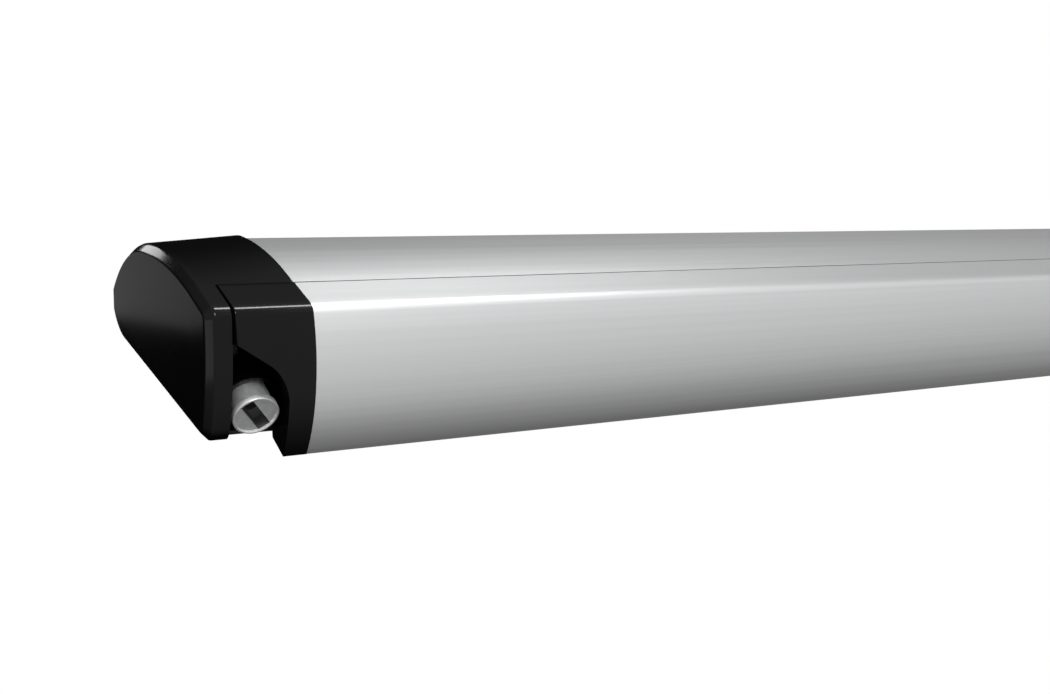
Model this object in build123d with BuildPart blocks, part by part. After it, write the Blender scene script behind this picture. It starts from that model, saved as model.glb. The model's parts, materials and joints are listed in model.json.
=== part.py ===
from build123d import *
from math import asin, atan2, cos, degrees, hypot, pi, radians, sin, sqrt, tan
import os

# A cassette awning, closed. X runs along it, -Y is the front and +Z is up. The origin is the centre
# of the flat land on the back of the case, halfway along. Sizes are in millimetres.

# Driving sizes of the whole awning
awning_length = 2600
section_depth = 193
section_height = 129
running_gap = 0.06
slide_gap = 0.25
seat_gap = 0.1
overrun = 10

# Case profile, end caps and the plates inside them
case_wall = 2.5
floor_setback = 3
lip_height = 3
boss_radius = 5
boss_bore = 2
boss_back = 22
boss_rise = 3.8
cap_length = 64
cap_wall = 3
cap_end_wall = 8
cap_chamfer = 5
crown_lift = 2
crown_drop = 3
ear_length = 15
ear_corner = 8
seam_gap = 0.8
seal_depth = 0.5
seal_height = 2.8
plate_thickness = 3
plate_gap = 0.5
tab_length = 24
tab_width = 26
screw_head_height = 2.4
plate_screw_radius = 1.9
plate_screw_head = 3
plate_screw_length = 20
mount_hole_radius = 3.3
mount_hole_spacing = 100
mount_inset = 236

# Section of the case: shares of the depth, forward of the wall, and of the height, above the land
lip_share = (0.834, 0.125)
crown_share = (0.639, 0.240)
crest_share = (0.383, 0.316)
back_share = (0.118, 0.216)
land_share = (0, 0.062)
nose_share = (0.041, -0.147)
floor_back_share = (0.130, -0.228)
floor_front_share = (0.834, -0.543)
crown_boss_share = (0.674, 0.164)
nose_boss_share = (0.068, 0.092)

# Section of the front rail and of the ear, in the same shares
rail_corner_share = (0.979, 0.023)
rail_bow_share = (1.000, -0.178)
rail_waist_share = (0.992, -0.367)
rail_toe_share = (0.912, -0.671)
rail_heel_share = (0.848, -0.597)
ear_corner_share = (0.972, 0.024)
ear_bow_share = (0.971, -0.285)
ear_bottom_share = 0.921
hem_share = (0.865, 0.039)

# Front rail
rail_wall = 2
rail_corner = 6
rail_cap_length = 48
rail_web_share = -0.411
keder_radius = 3
keder_gap = 0.4
keder_wall = 1.6
keder_mouth = 2.4
rail_cap_proud = 0.8
recess_top_share = -0.132
recess_shelf = 29
recess_shelf_share = -0.229
recess_turn = 20.5
recess_turn_share = -0.295
recess_neck = 16.5
recess_neck_share = -0.380
recess_foot = 13.5

# Arms: the pins stand square to the floor of the case
arm_inset = 71
elbow_inset = 85
shoulder_back = 69
arm_spacing = 35
arm_lift = 8
arm_gap = 0.5
tube_width = 28
tube_height = 40
tube_wall = 2.5
tube_corner = 8
plug_length = 25
knuckle_radius = 13
knuckle_reach = 22
elbow_radius = 12
elbow_reach = 45
knuckle_root = 3
knuckle_chamfer = 1.5
pin_head = 2
tongue_height = 16
arm_pin_radius = 6
spring_radius = 9
spring_rod_radius = 4
spring_body_length = 600
ear_plate = 6
bracket_outboard = 20
bracket_web = 20
bracket_inboard = 15
wrist_plate = 4
wrist_plate_width = 80
wrist_ear = 5
bracket_screw_radius = 3
bracket_screw_head = 5.5
bracket_screw_spacing = 24
rivet_head = 5
rivet_edge = 10
rivet_pitch = 20

# Crank drive: the crank's axis leaves the front of the end cap and points down
mouth_share = (0.9466, -0.4659)
mouth_inset = 33.5
crank_tilt = 35
worm_reach = 139
gear_centres = 24
socket_radius = 12.5
socket_rim_radius = 14
socket_rim_length = 4
socket_rim_wall = 1.4
socket_length = 40
socket_step = 1
slot_width = 8
slot_depth = 9
slot_turn = 51.8
socket_bore = 6
socket_bore_depth = 14
collar_bore = 15.5
collar_wall = 2
collar_end = 45
crank_shaft_radius = 5
worm_radius = 8.8
worm_root = 6
worm_length = 20
worm_starts = 2
thread_width = 1.8
wheel_radius = 16
wheel_root = 13.8
wheel_teeth = 12
wheel_width = 16
wheel_tooth = 2
housing_wall = 2
housing_length = 46
housing_play = 0.5

# Roller and canopy
roller_radius = 25
roller_wall = 1.5
roller_end_gap = 10
roller_shaft_radius = 6
roller_plug_length = 30
bush_wall = 3
bush_flange = 2
bush_length = 14
canopy_inset = 21
canopy_thickness = 0.6
canopy_roll_radius = 31

# Support legs, folded along the front rail
leg_inset = 60
leg_thickness = 11.5
leg_height = 24
leg_wall = 1.4
leg_corner = 3
leg_play = 0.3
leg_middle_gap = 176
leg_pin_radius = 3
leg_plug_thickness = 7
leg_plug_radius = 8
leg_root = 20
leg_collar_length = 25
leg_collar_back = 70
leg_inner_start = 85
foot_length = 35
cheek_radius = 10
bridge_thickness = 3
lever_length = 22
lever_height = 5
lever_pin_radius = 1.5
lever_end = 4
peg_hole_radius = 2.5

half_length = awning_length / 2
profile_half = half_length - cap_length
mount_station = profile_half - mount_inset


def place(share, lift=0):
    """A point of the section, as Y and Z, from its shares of the depth and of the height."""
    return (-share[0] * section_depth, share[1] * section_height + lift)


# The floor of the case is the line that the arms and the front rail travel along
floor_front = place(floor_front_share)
floor_back = place(floor_back_share)
floor_tilt = atan2(floor_back[1] - floor_front[1], floor_back[0] - floor_front[0])
rail_back = place(lip_share)[0] - seam_gap
ear_bottom_y = -ear_bottom_share * section_depth
ear_bottom = (ear_bottom_y, floor_front[1] + (ear_bottom_y - floor_front[0]) * tan(floor_tilt))


def arm_point(back, up):
    """Y and Z of a point so far back along the inside of the floor and so far up, square to it."""
    rise = case_wall + up
    return (
        floor_front[0] + back * cos(floor_tilt) - rise * sin(floor_tilt),
        floor_front[1] + back * sin(floor_tilt) + rise * cos(floor_tilt),
    )


def arm_plane(up, x=0, back=0):
    """A plane parallel to the floor: its x runs along the awning and its y runs back."""
    return Plane(
        origin=(x, *arm_point(back, up)),
        x_dir=(1, 0, 0),
        z_dir=(0, -sin(floor_tilt), cos(floor_tilt)),
    )


def tube_plane(x, back, up):
    """A plane across an arm's tube: its x runs back along the floor and its y runs up."""
    return Plane(origin=(x, *arm_point(back, up)), x_dir=(0, cos(floor_tilt), sin(floor_tilt)), z_dir=(1, 0, 0))


# The crank's axis, from the middle of the socket's mouth up into the case
mouth = place(mouth_share)
crank_angle = radians(crank_tilt)
crank_x = -(profile_half + mouth_inset)


def crank_point(reach):
    """Y and Z of a point on the crank's axis, so far in from the mouth."""
    return (mouth[0] + reach * cos(crank_angle), mouth[1] + reach * sin(crank_angle))


def crank_plane(reach):
    """A plane square to the crank's axis, facing into the case."""
    return Plane(
        origin=(crank_x, *crank_point(reach)),
        x_dir=(1, 0, 0),
        z_dir=(0, cos(crank_angle), sin(crank_angle)),
    )


worm_middle = crank_point(worm_reach)
roller_y = worm_middle[0] + gear_centres * sin(crank_angle)
roller_z = worm_middle[1] - gear_centres * cos(crank_angle)
roller_half = profile_half - roller_end_gap
canopy_half = profile_half - canopy_inset


def roller_plane(x):
    """A plane square to the roller's axis, centred on it."""
    return Plane(origin=(x, roller_y, roller_z), x_dir=(0, 1, 0), z_dir=(1, 0, 0))


# The arms' pins, on the left
shoulder_x = -(profile_half - arm_inset)
elbow_x = -elbow_inset
wrist_back = shoulder_back - arm_spacing
elbow_back = shoulder_back - arm_spacing / 2
tube_middle = arm_lift + tube_height / 2

# The canopy leaves the top of the roll and runs to the rod in the front rail's groove
hem_y, hem_z = place(hem_share)
sheet_offset = canopy_roll_radius + canopy_thickness
hem_span = hypot(roller_y - hem_y, roller_z - hem_z)
sheet_angle = atan2(roller_z - hem_z, roller_y - hem_y) + asin(sheet_offset / hem_span)
sheet_span = sqrt(hem_span**2 - sheet_offset**2)

# The legs lie in the front rail, just ahead of its back and under its web
web_bottom = rail_web_share * section_height
leg_y = rail_back - leg_play - leg_thickness / 2
leg_front = leg_y - leg_thickness / 2
leg_top = web_bottom - bridge_thickness - leg_play
leg_z = leg_top - leg_height / 2
leg_x = -(profile_half - leg_inset)
leg_stowed = -leg_x - leg_middle_gap
leg_collar_station = leg_stowed - leg_collar_back
rail_toe = place(rail_toe_share)


def case_face(lift=0):
    """The filled outline of the case, with its crown lifted or lowered."""
    with BuildSketch() as face:
        with BuildLine():
            ThreePointArc(place(lip_share), place(crown_share, lift / 2), place(crest_share, lift))
            ThreePointArc(place(crest_share, lift), place(back_share, lift / 2), place(land_share))
            Line(place(land_share), (0, -land_share[1] * section_height))
            ThreePointArc((0, -land_share[1] * section_height), place(nose_share), floor_back)
            Line(floor_back, floor_front)
            Line(floor_front, place(lip_share))
        make_face()
    return face.sketch


def rail_face(proud=0):
    """The filled outline of the front rail, with its top and front standing proud by so much."""
    lip_y, lip_z = place(lip_share)
    corner_y, corner_z = place(rail_corner_share)
    slope = (lip_z - corner_z) / (lip_y - corner_y)
    back_top = (rail_back, lip_z + slope * (rail_back - lip_y) + proud)
    corner = (corner_y - proud, corner_z + proud)
    bow = (place(rail_bow_share)[0] - proud, place(rail_bow_share)[1])
    waist = (place(rail_waist_share)[0] - proud, place(rail_waist_share)[1])
    toe = (rail_toe[0] - proud, rail_toe[1])
    heel = (rail_back, place(rail_heel_share)[1])
    with BuildSketch() as face:
        with BuildLine():
            Line(back_top, corner)
            upper = ThreePointArc(corner, bow, waist)
            TangentArc(waist, toe, tangent=upper % 1)
            Polyline(toe, heel, back_top)
        make_face()
        fillet(face.vertices().sort_by_distance(corner)[0], radius=rail_corner)
    return face.sketch


def end_face(lift=0):
    """The filled outline of an end cap's outer end: the case with the ear that wraps round its front."""
    with BuildSketch() as face:
        with BuildLine():
            ThreePointArc(place(lip_share), place(crown_share, lift / 2), place(crest_share, lift))
            ThreePointArc(place(crest_share, lift), place(back_share, lift / 2), place(land_share))
            Line(place(land_share), (0, -land_share[1] * section_height))
            ThreePointArc((0, -land_share[1] * section_height), place(nose_share), floor_back)
            Line(floor_back, ear_bottom)
            ThreePointArc(ear_bottom, place(ear_bow_share), place(ear_corner_share))
            Line(place(ear_corner_share), place(lip_share))
        make_face()
        fillet(face.vertices().sort_by_distance(place(ear_corner_share))[0], radius=rail_corner)
        fillet(face.vertices().sort_by_distance(ear_bottom)[0], radius=ear_corner)
    return face.sketch


os.makedirs("parts", exist_ok=True)


def write_pair(left, name):
    """Write a left piece, and its mirror image as the right one."""
    left.part.label = f"{name}_left"
    export_step(left.part, f"parts/{name}_left.step")
    with BuildPart() as right:
        mirror(left.part, about=Plane.YZ)
    right.part.label = f"{name}_right"
    export_step(right.part, f"parts/{name}_right.step")


# Places of the screw channels, which run the whole length of the case
boss_places = [place(crown_boss_share), place(nose_boss_share), arm_point(shoulder_back + boss_back, boss_rise)]

# Places of the shoulder brackets' screws, two a side, under the outboard web
web_x = shoulder_x - bracket_outboard - bracket_web / 2
shoulder_screws_at = [
    (side * web_x, shoulder_back + row * bracket_screw_spacing / 2) for side in (1, -1) for row in (1, -1)
]
mount_holes_at = [
    (station * mount_station + row * mount_hole_spacing / 2, 0) for station in (-1, 0, 1) for row in (1, -1)
]

# Case profile: one extrusion, open along the front
with BuildPart() as case_profile:
    with BuildSketch(Plane.YZ.offset(-profile_half)):
        add(case_face())
        offset(amount=-case_wall, mode=Mode.SUBTRACT)
        with Locations(*boss_places):
            Circle(boss_radius)
            Circle(boss_bore, mode=Mode.SUBTRACT)
        with Locations((place(lip_share)[0] - overrun, place(lip_share)[1] - lip_height)):
            Rectangle(
                overrun + floor_setback, section_height, align=(Align.MIN, Align.MAX), mode=Mode.SUBTRACT
            )
    extrude(amount=2 * profile_half)
    with BuildSketch(Plane.XZ.offset(-overrun)):
        with Locations(*mount_holes_at):
            Circle(mount_hole_radius)
    extrude(amount=overrun + 2 * case_wall, mode=Mode.SUBTRACT)
    with BuildSketch(arm_plane(-2 * case_wall)):
        with Locations(*shoulder_screws_at):
            Circle(bracket_screw_radius + seat_gap)
    extrude(amount=3 * case_wall, mode=Mode.SUBTRACT)
case_profile.part.label = "case_profile"
export_step(case_profile.part, "parts/case_profile.step")

# Seal along the case's upper lip, which closes the fine seam behind the front rail
with BuildPart() as top_seal:
    with BuildSketch(Plane.YZ.offset(-profile_half)):
        with Locations(place(lip_share)):
            Rectangle(seal_depth, seal_height, align=(Align.MAX, Align.MAX))
    extrude(amount=2 * profile_half)
top_seal.part.label = "top_seal"
export_step(top_seal.part, "parts/top_seal.step")

# Collar inside the end cap, which the crank socket comes out of
with BuildPart() as socket_collar:
    with BuildSketch(crank_plane(0)):
        Circle(collar_bore + collar_wall)
        Circle(collar_bore, mode=Mode.SUBTRACT)
    extrude(amount=collar_end)
    split(bisect_by=Plane.XZ.offset(-place(lip_share)[0]), keep=Keep.BOTTOM)

# Places of the screws that hold an end cap to its bearing plate, from below
tab_middle = -(profile_half + plate_thickness + tab_length / 2)
cap_screws_at = [(tab_middle, wrist_back - tab_width / 4), (tab_middle, wrist_back + tab_width / 4)]

# End caps: the crown falls towards the outer end, and an ear wraps round the front
crown_fall = (crown_lift + crown_drop) / cap_length
ear_lift = crown_lift - crown_fall * (cap_length - ear_length)
with BuildPart() as plain_cap:
    with BuildSketch(Plane.YZ.offset(-profile_half)):
        add(case_face(crown_lift))
    with BuildSketch(Plane.YZ.offset(ear_length - half_length)):
        add(case_face(ear_lift))
    loft(ruled=True)
    with BuildSketch(Plane.YZ.offset(ear_length - half_length)):
        add(end_face(ear_lift))
    with BuildSketch(Plane.YZ.offset(-half_length)):
        add(end_face(-crown_drop))
    loft(ruled=True)
    chamfer(plain_cap.faces().sort_by(Axis.X)[0].outer_wire().edges(), length=cap_chamfer)
    with BuildSketch(Plane.YZ.offset(-profile_half)):
        add(case_face(-crown_drop))
        offset(amount=-cap_wall)
    extrude(amount=-(cap_length - cap_end_wall), mode=Mode.SUBTRACT)
    with BuildSketch(arm_plane(-case_wall)):
        with Locations(*cap_screws_at):
            Circle(plate_screw_head + seat_gap)
    extrude(amount=screw_head_height, mode=Mode.SUBTRACT)
    with BuildSketch(arm_plane(-case_wall)):
        with Locations(*cap_screws_at):
            Circle(boss_bore + seat_gap)
    extrude(amount=2 * cap_wall, mode=Mode.SUBTRACT)

with BuildPart() as end_cap_left:
    add(plain_cap.part)
    add(socket_collar.part)
    with BuildSketch(crank_plane(0)):
        Circle(collar_bore)
    extrude(amount=collar_end, mode=Mode.SUBTRACT)
end_cap_left.part.label = "end_cap_left"
export_step(end_cap_left.part, "parts/end_cap_left.step")

with BuildPart() as end_cap_right:
    mirror(plain_cap.part, about=Plane.YZ)
end_cap_right.part.label = "end_cap_right"
export_step(end_cap_right.part, "parts/end_cap_right.step")

# Bearing plates: each closes an end of the case profile, carries the roller and holds its cap
with BuildPart() as bearing_plate:
    with BuildSketch(Plane.YZ.offset(-profile_half)):
        add(case_face(-crown_drop))
        offset(amount=-(cap_wall + plate_gap))
        with Locations(*boss_places):
            Circle(boss_bore, mode=Mode.SUBTRACT)
    extrude(amount=-plate_thickness)
    with BuildSketch(arm_plane(cap_wall - case_wall + seat_gap)):
        with Locations((tab_middle + plate_thickness / 2, wrist_back)):
            Rectangle(tab_length + plate_thickness, tab_width)
        with Locations(*cap_screws_at):
            Circle(boss_bore, mode=Mode.SUBTRACT)
    extrude(amount=plate_thickness)

with BuildPart() as bearing_plate_left:
    add(bearing_plate.part)
    with BuildSketch(roller_plane(-profile_half)):
        Circle(roller_shaft_radius + running_gap)
    extrude(amount=-plate_thickness, mode=Mode.SUBTRACT)
bearing_plate_left.part.label = "bearing_plate_left"
export_step(bearing_plate_left.part, "parts/bearing_plate_left.step")

bush_radius = roller_shaft_radius + running_gap + bush_wall
with BuildPart() as bearing_plate_right:
    mirror(bearing_plate.part, about=Plane.YZ)
    with BuildSketch(roller_plane(profile_half)):
        Circle(bush_radius)
    extrude(amount=plate_thickness, mode=Mode.SUBTRACT)
bearing_plate_right.part.label = "bearing_plate_right"
export_step(bearing_plate_right.part, "parts/bearing_plate_right.step")

# Roller bush: a flanged bush in the right plate
with BuildPart() as roller_bush:
    with BuildSketch(roller_plane(profile_half)):
        Circle(bush_radius)
    extrude(amount=bush_length)
    with BuildSketch(roller_plane(profile_half + plate_thickness)):
        Circle(bush_radius + bush_wall)
    extrude(amount=bush_flange)
    with BuildSketch(roller_plane(profile_half)):
        Circle(roller_shaft_radius + running_gap)
    extrude(amount=bush_length, mode=Mode.SUBTRACT)
roller_bush.part.label = "roller_bush"
export_step(roller_bush.part, "parts/roller_bush.step")

# Screws of both ends: three through each plate into the screw channels, two up through each cap
with BuildPart() as end_screws:
    with BuildSketch(Plane.YZ.offset(-profile_half - plate_thickness)):
        with Locations(*boss_places):
            Circle(plate_screw_head)
    extrude(amount=-screw_head_height)
    with BuildSketch(Plane.YZ.offset(-profile_half - plate_thickness)):
        with Locations(*boss_places):
            Circle(plate_screw_radius)
    extrude(amount=plate_screw_length)
    with BuildSketch(arm_plane(-case_wall)):
        with Locations(*cap_screws_at):
            Circle(plate_screw_head)
    extrude(amount=screw_head_height)
    with BuildSketch(arm_plane(-case_wall)):
        with Locations(*cap_screws_at):
            Circle(plate_screw_radius)
    extrude(amount=cap_wall + 2 * plate_thickness)
    mirror(about=Plane.YZ)
end_screws.part.label = "end_screws"
export_step(end_screws.part, "parts/end_screws.step")

# Gear housing: holds the worm against the wheel on the roller's shaft
housing_face_x = -(profile_half + plate_thickness)
with BuildPart() as gear_housing:
    with BuildSketch(Plane.YZ.offset(housing_face_x)):
        with Locations((roller_y, roller_z)):
            Circle(wheel_radius + housing_play + housing_wall)
        with Locations(Location((worm_middle[0], worm_middle[1], 0), crank_tilt)):
            RectangleRounded(
                worm_length + 2 * (housing_play + housing_wall),
                2 * (worm_radius + housing_play + housing_wall),
                2 * housing_wall,
            )
    extrude(amount=-housing_length)
    with BuildSketch(roller_plane(crank_x - wheel_width / 2 - housing_play)):
        Circle(wheel_radius + housing_play)
    extrude(amount=wheel_width + 2 * housing_play, mode=Mode.SUBTRACT)
    with BuildSketch(crank_plane(worm_reach - worm_length / 2 - housing_play)):
        Circle(worm_radius + housing_play)
    extrude(amount=worm_length + 2 * housing_play, mode=Mode.SUBTRACT)
    with BuildSketch(crank_plane(worm_reach - worm_length)):
        Circle(crank_shaft_radius + running_gap)
    extrude(amount=2 * worm_length, mode=Mode.SUBTRACT)
    with BuildSketch(roller_plane(housing_face_x)):
        Circle(roller_shaft_radius + running_gap)
    extrude(amount=-housing_length, mode=Mode.SUBTRACT)
gear_housing.part.label = "gear_housing"
export_step(gear_housing.part, "parts/gear_housing.step")

# Roller: tube, two end plugs with their shafts, worm wheel and wound canopy
with BuildPart() as roller_tube:
    with BuildSketch(roller_plane(-roller_half)):
        Circle(roller_radius)
        Circle(roller_radius - roller_wall, mode=Mode.SUBTRACT)
    extrude(amount=2 * roller_half)
roller_tube.part.label = "roller_tube"
export_step(roller_tube.part, "parts/roller_tube.step")

with BuildPart() as roller_plug_left:
    with BuildSketch(roller_plane(-roller_half)):
        Circle(roller_radius - roller_wall - seat_gap)
    extrude(amount=roller_plug_length)
    with BuildSketch(roller_plane(-roller_half)):
        Circle(roller_radius)
    extrude(amount=-bush_flange)
    with BuildSketch(roller_plane(-roller_half)):
        Circle(roller_shaft_radius)
    extrude(amount=-(housing_length + roller_end_gap + plate_thickness))
roller_plug_left.part.label = "roller_plug_left"
export_step(roller_plug_left.part, "parts/roller_plug_left.step")

with BuildPart() as roller_plug_right:
    with BuildSketch(roller_plane(roller_half)):
        Circle(roller_radius - roller_wall - seat_gap)
    extrude(amount=-roller_plug_length)
    with BuildSketch(roller_plane(roller_half)):
        Circle(roller_radius)
    extrude(amount=bush_flange)
    with BuildSketch(roller_plane(roller_half)):
        Circle(roller_shaft_radius)
    extrude(amount=roller_end_gap + bush_length)
roller_plug_right.part.label = "roller_plug_right"
export_step(roller_plug_right.part, "parts/roller_plug_right.step")

# The wheel's teeth stand either side of the worm's thread at rest
wheel_turn = degrees(radians(90) + crank_angle) + 180 / wheel_teeth
with BuildPart() as worm_wheel:
    with BuildSketch(roller_plane(crank_x - wheel_width / 2)):
        Circle(wheel_root)
        with PolarLocations(wheel_root, wheel_teeth, start_angle=wheel_turn):
            Rectangle(2 * (wheel_radius - wheel_root), wheel_tooth)
        Circle(wheel_radius, mode=Mode.INTERSECT)
        Circle(roller_shaft_radius + seat_gap, mode=Mode.SUBTRACT)
    extrude(amount=wheel_width)
worm_wheel.part.label = "worm_wheel"
export_step(worm_wheel.part, "parts/worm_wheel.step")

with BuildPart() as canopy_roll:
    with BuildSketch(roller_plane(-canopy_half)):
        Circle(canopy_roll_radius)
        Circle(roller_radius + seat_gap, mode=Mode.SUBTRACT)
    extrude(amount=2 * canopy_half)
canopy_roll.part.label = "canopy_roll"
export_step(canopy_roll.part, "parts/canopy_roll.step")

# Crank: a worm with two threads on a shaft, and the socket that a crank handle's hook turns
mesh_depth = wheel_radius + worm_radius - gear_centres
worm_lead = worm_starts * 2 * pi * (wheel_radius - mesh_depth / 2) / wheel_teeth
thread_length = worm_length - thread_width
with BuildPart() as worm_thread:
    with BuildLine():
        thread_path = Helix(pitch=worm_lead, height=thread_length, radius=worm_root)
    with BuildSketch(Plane(origin=thread_path @ 0, x_dir=(1, 0, 0), z_dir=thread_path % 0)):
        Rectangle(2 * (worm_radius - worm_root), thread_width)
    sweep(path=thread_path, is_frenet=True)

# Turn that brings a thread to face the wheel halfway along the worm
thread_turn = 90 - 180 * thread_length / worm_lead
thread_plane = crank_plane(worm_reach - thread_length / 2)
with BuildPart() as worm_shaft:
    with BuildSketch(crank_plane(socket_length - socket_bore_depth)):
        Circle(crank_shaft_radius)
    extrude(amount=worm_reach + worm_length / 2 + housing_wall - socket_length + socket_bore_depth)
    with BuildSketch(crank_plane(worm_reach - worm_length / 2)):
        Circle(worm_root)
    extrude(amount=worm_length)
    for start in range(worm_starts):
        add(thread_plane.location * Rotation(0, 0, thread_turn + 360 * start / worm_starts) * worm_thread.part)
worm_shaft.part.label = "worm_shaft"
export_step(worm_shaft.part, "parts/worm_shaft.step")

with BuildPart() as crank_socket:
    with BuildSketch(crank_plane(0)):
        Circle(socket_radius)
    extrude(amount=socket_length)
    with BuildSketch(crank_plane(0)):
        Circle(socket_rim_radius)
    extrude(amount=socket_rim_length)
    with BuildSketch(crank_plane(0)):
        Circle(socket_rim_radius - socket_rim_wall)
    extrude(amount=socket_step, mode=Mode.SUBTRACT)
    with BuildSketch(crank_plane(socket_step)):
        Rectangle(2 * (socket_rim_radius - socket_rim_wall), slot_width, rotation=slot_turn)
        Circle(socket_rim_radius - socket_rim_wall, mode=Mode.INTERSECT)
    extrude(amount=slot_depth, mode=Mode.SUBTRACT)
    with BuildSketch(crank_plane(0)):
        Circle(socket_bore)
    extrude(amount=socket_bore_depth, mode=Mode.SUBTRACT)
    with BuildSketch(crank_plane(socket_length)):
        Circle(crank_shaft_radius + seat_gap)
    extrude(amount=-socket_bore_depth, mode=Mode.SUBTRACT)
crank_socket.part.label = "crank_socket"
export_step(crank_socket.part, "parts/crank_socket.step")

# Shoulder brackets: a web and two plates round each upper arm's knuckle, on the floor of the case
plate_up = arm_lift + tube_height + arm_gap
with BuildPart() as shoulder_bracket:
    with BuildSketch(arm_plane(0)):
        with Locations((shoulder_x - bracket_outboard - bracket_web, shoulder_back)):
            Rectangle(
                bracket_web + bracket_outboard + bracket_inboard, tube_width, align=(Align.MIN, Align.CENTER)
            )
    extrude(amount=arm_lift - arm_gap)
    with BuildSketch(arm_plane(0)):
        with Locations((web_x, shoulder_back)):
            Rectangle(bracket_web, tube_width)
    extrude(amount=plate_up + ear_plate)
    with BuildSketch(arm_plane(plate_up)):
        with Locations((shoulder_x - bracket_outboard - bracket_web, shoulder_back)):
            Rectangle(
                bracket_web + bracket_outboard + bracket_inboard, tube_width, align=(Align.MIN, Align.CENTER)
            )
    extrude(amount=ear_plate)
    with BuildSketch(arm_plane(0)):
        with Locations((shoulder_x, shoulder_back)):
            Circle(arm_pin_radius)
    extrude(amount=plate_up + ear_plate, mode=Mode.SUBTRACT)
    with BuildSketch(arm_plane(0)):
        with Locations(*shoulder_screws_at):
            Circle(bracket_screw_radius + seat_gap)
    extrude(amount=tube_height / 2, mode=Mode.SUBTRACT)
write_pair(shoulder_bracket, "shoulder_bracket")

# Pins of the shoulders and the brackets' screws
with BuildPart() as shoulder_pins:
    with BuildSketch(arm_plane(0)):
        with Locations((shoulder_x, shoulder_back)):
            Circle(arm_pin_radius - running_gap)
    extrude(amount=plate_up + ear_plate)
    with BuildSketch(arm_plane(plate_up + ear_plate)):
        with Locations((shoulder_x, shoulder_back)):
            Circle(arm_pin_radius + pin_head)
    extrude(amount=pin_head)
    mirror(about=Plane.YZ)
shoulder_pins.part.label = "shoulder_pins"
export_step(shoulder_pins.part, "parts/shoulder_pins.step")

with BuildPart() as shoulder_screws:
    with BuildSketch(arm_plane(-case_wall)):
        with Locations(*shoulder_screws_at):
            Circle(bracket_screw_head)
    extrude(amount=-screw_head_height)
    with BuildSketch(arm_plane(-case_wall)):
        with Locations(*shoulder_screws_at):
            Circle(bracket_screw_radius)
    extrude(amount=tube_height / 2)
shoulder_screws.part.label = "shoulder_screws"
export_step(shoulder_screws.part, "parts/shoulder_screws.step")

# Arms. The left ones are modelled where they lie folded, and the right ones are their mirror images
plug_width = tube_width - 2 * (tube_wall + seat_gap)
plug_height = tube_height - 2 * (tube_wall + seat_gap)
tube_end_x = elbow_x - elbow_reach
tube_start_x = shoulder_x + knuckle_reach
tongue_up = tube_middle - tongue_height / 2

for tube_name, back in (("upper_arm_tube", shoulder_back), ("forearm_tube", wrist_back)):
    with BuildPart() as arm_tube:
        with BuildSketch(tube_plane(tube_start_x, back, tube_middle)):
            RectangleRounded(tube_width, tube_height, tube_corner)
            RectangleRounded(
                tube_width - 2 * tube_wall, tube_height - 2 * tube_wall, tube_corner - tube_wall, mode=Mode.SUBTRACT
            )
        extrude(amount=tube_end_x - tube_start_x)
    write_pair(arm_tube, tube_name)

for knuckle_name, back in (("shoulder_knuckle", shoulder_back), ("wrist_knuckle", wrist_back)):
    with BuildPart() as knuckle:
        with BuildSketch(arm_plane(arm_lift)):
            with Locations((shoulder_x, back)):
                Circle(knuckle_radius)
            with Locations((tube_start_x, back)):
                Rectangle(knuckle_root, tube_width, align=(Align.MAX, Align.CENTER))
            make_hull()
        extrude(amount=tube_height)
        chamfer(knuckle.faces().filter_by(arm_plane(0)).edges(), length=knuckle_chamfer)
        with BuildSketch(tube_plane(tube_start_x, back, tube_middle)):
            RectangleRounded(plug_width, plug_height, tube_corner - tube_wall)
        extrude(amount=plug_length)
        with BuildSketch(arm_plane(arm_lift)):
            with Locations((shoulder_x, back)):
                Circle(arm_pin_radius + running_gap)
        extrude(amount=tube_height, mode=Mode.SUBTRACT)
    write_pair(knuckle, knuckle_name)

with BuildPart() as elbow_fork:
    with BuildSketch(arm_plane(arm_lift)):
        with Locations((elbow_x, elbow_back)):
            Circle(elbow_radius)
        with Locations((tube_end_x, shoulder_back)):
            Rectangle(knuckle_root, tube_width, align=(Align.MIN, Align.CENTER))
        make_hull()
    extrude(amount=tube_height)
    with BuildSketch(arm_plane(tongue_up - arm_gap)):
        with Locations((tube_end_x + knuckle_root, elbow_back)):
            Rectangle(2 * elbow_reach, 3 * tube_width, align=(Align.MIN, Align.CENTER))
    extrude(amount=tongue_height + 2 * arm_gap, mode=Mode.SUBTRACT)
    with BuildSketch(tube_plane(tube_end_x, shoulder_back, tube_middle)):
        RectangleRounded(plug_width, plug_height, tube_corner - tube_wall)
    extrude(amount=-plug_length)
    with BuildSketch(arm_plane(arm_lift)):
        with Locations((elbow_x, elbow_back)):
            Circle(arm_pin_radius)
    extrude(amount=tube_height, mode=Mode.SUBTRACT)
write_pair(elbow_fork, "elbow_fork")

with BuildPart() as elbow_knuckle:
    with BuildSketch(arm_plane(tongue_up)):
        with Locations((elbow_x, elbow_back)):
            Circle(elbow_radius)
        with Locations((tube_end_x, wrist_back)):
            Rectangle(knuckle_root, tube_width, align=(Align.MIN, Align.CENTER))
        make_hull()
    extrude(amount=tongue_height)
    with BuildSketch(tube_plane(tube_end_x, wrist_back, tube_middle)):
        RectangleRounded(tube_width, tube_height, tube_corner)
    extrude(amount=knuckle_root)
    with BuildSketch(tube_plane(tube_end_x, wrist_back, tube_middle)):
        RectangleRounded(plug_width, plug_height, tube_corner - tube_wall)
    extrude(amount=-plug_length)
    with BuildSketch(arm_plane(arm_lift)):
        with Locations((elbow_x, elbow_back)):
            Circle(arm_pin_radius)
    extrude(amount=tube_height, mode=Mode.SUBTRACT)
write_pair(elbow_knuckle, "elbow_knuckle")

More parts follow.
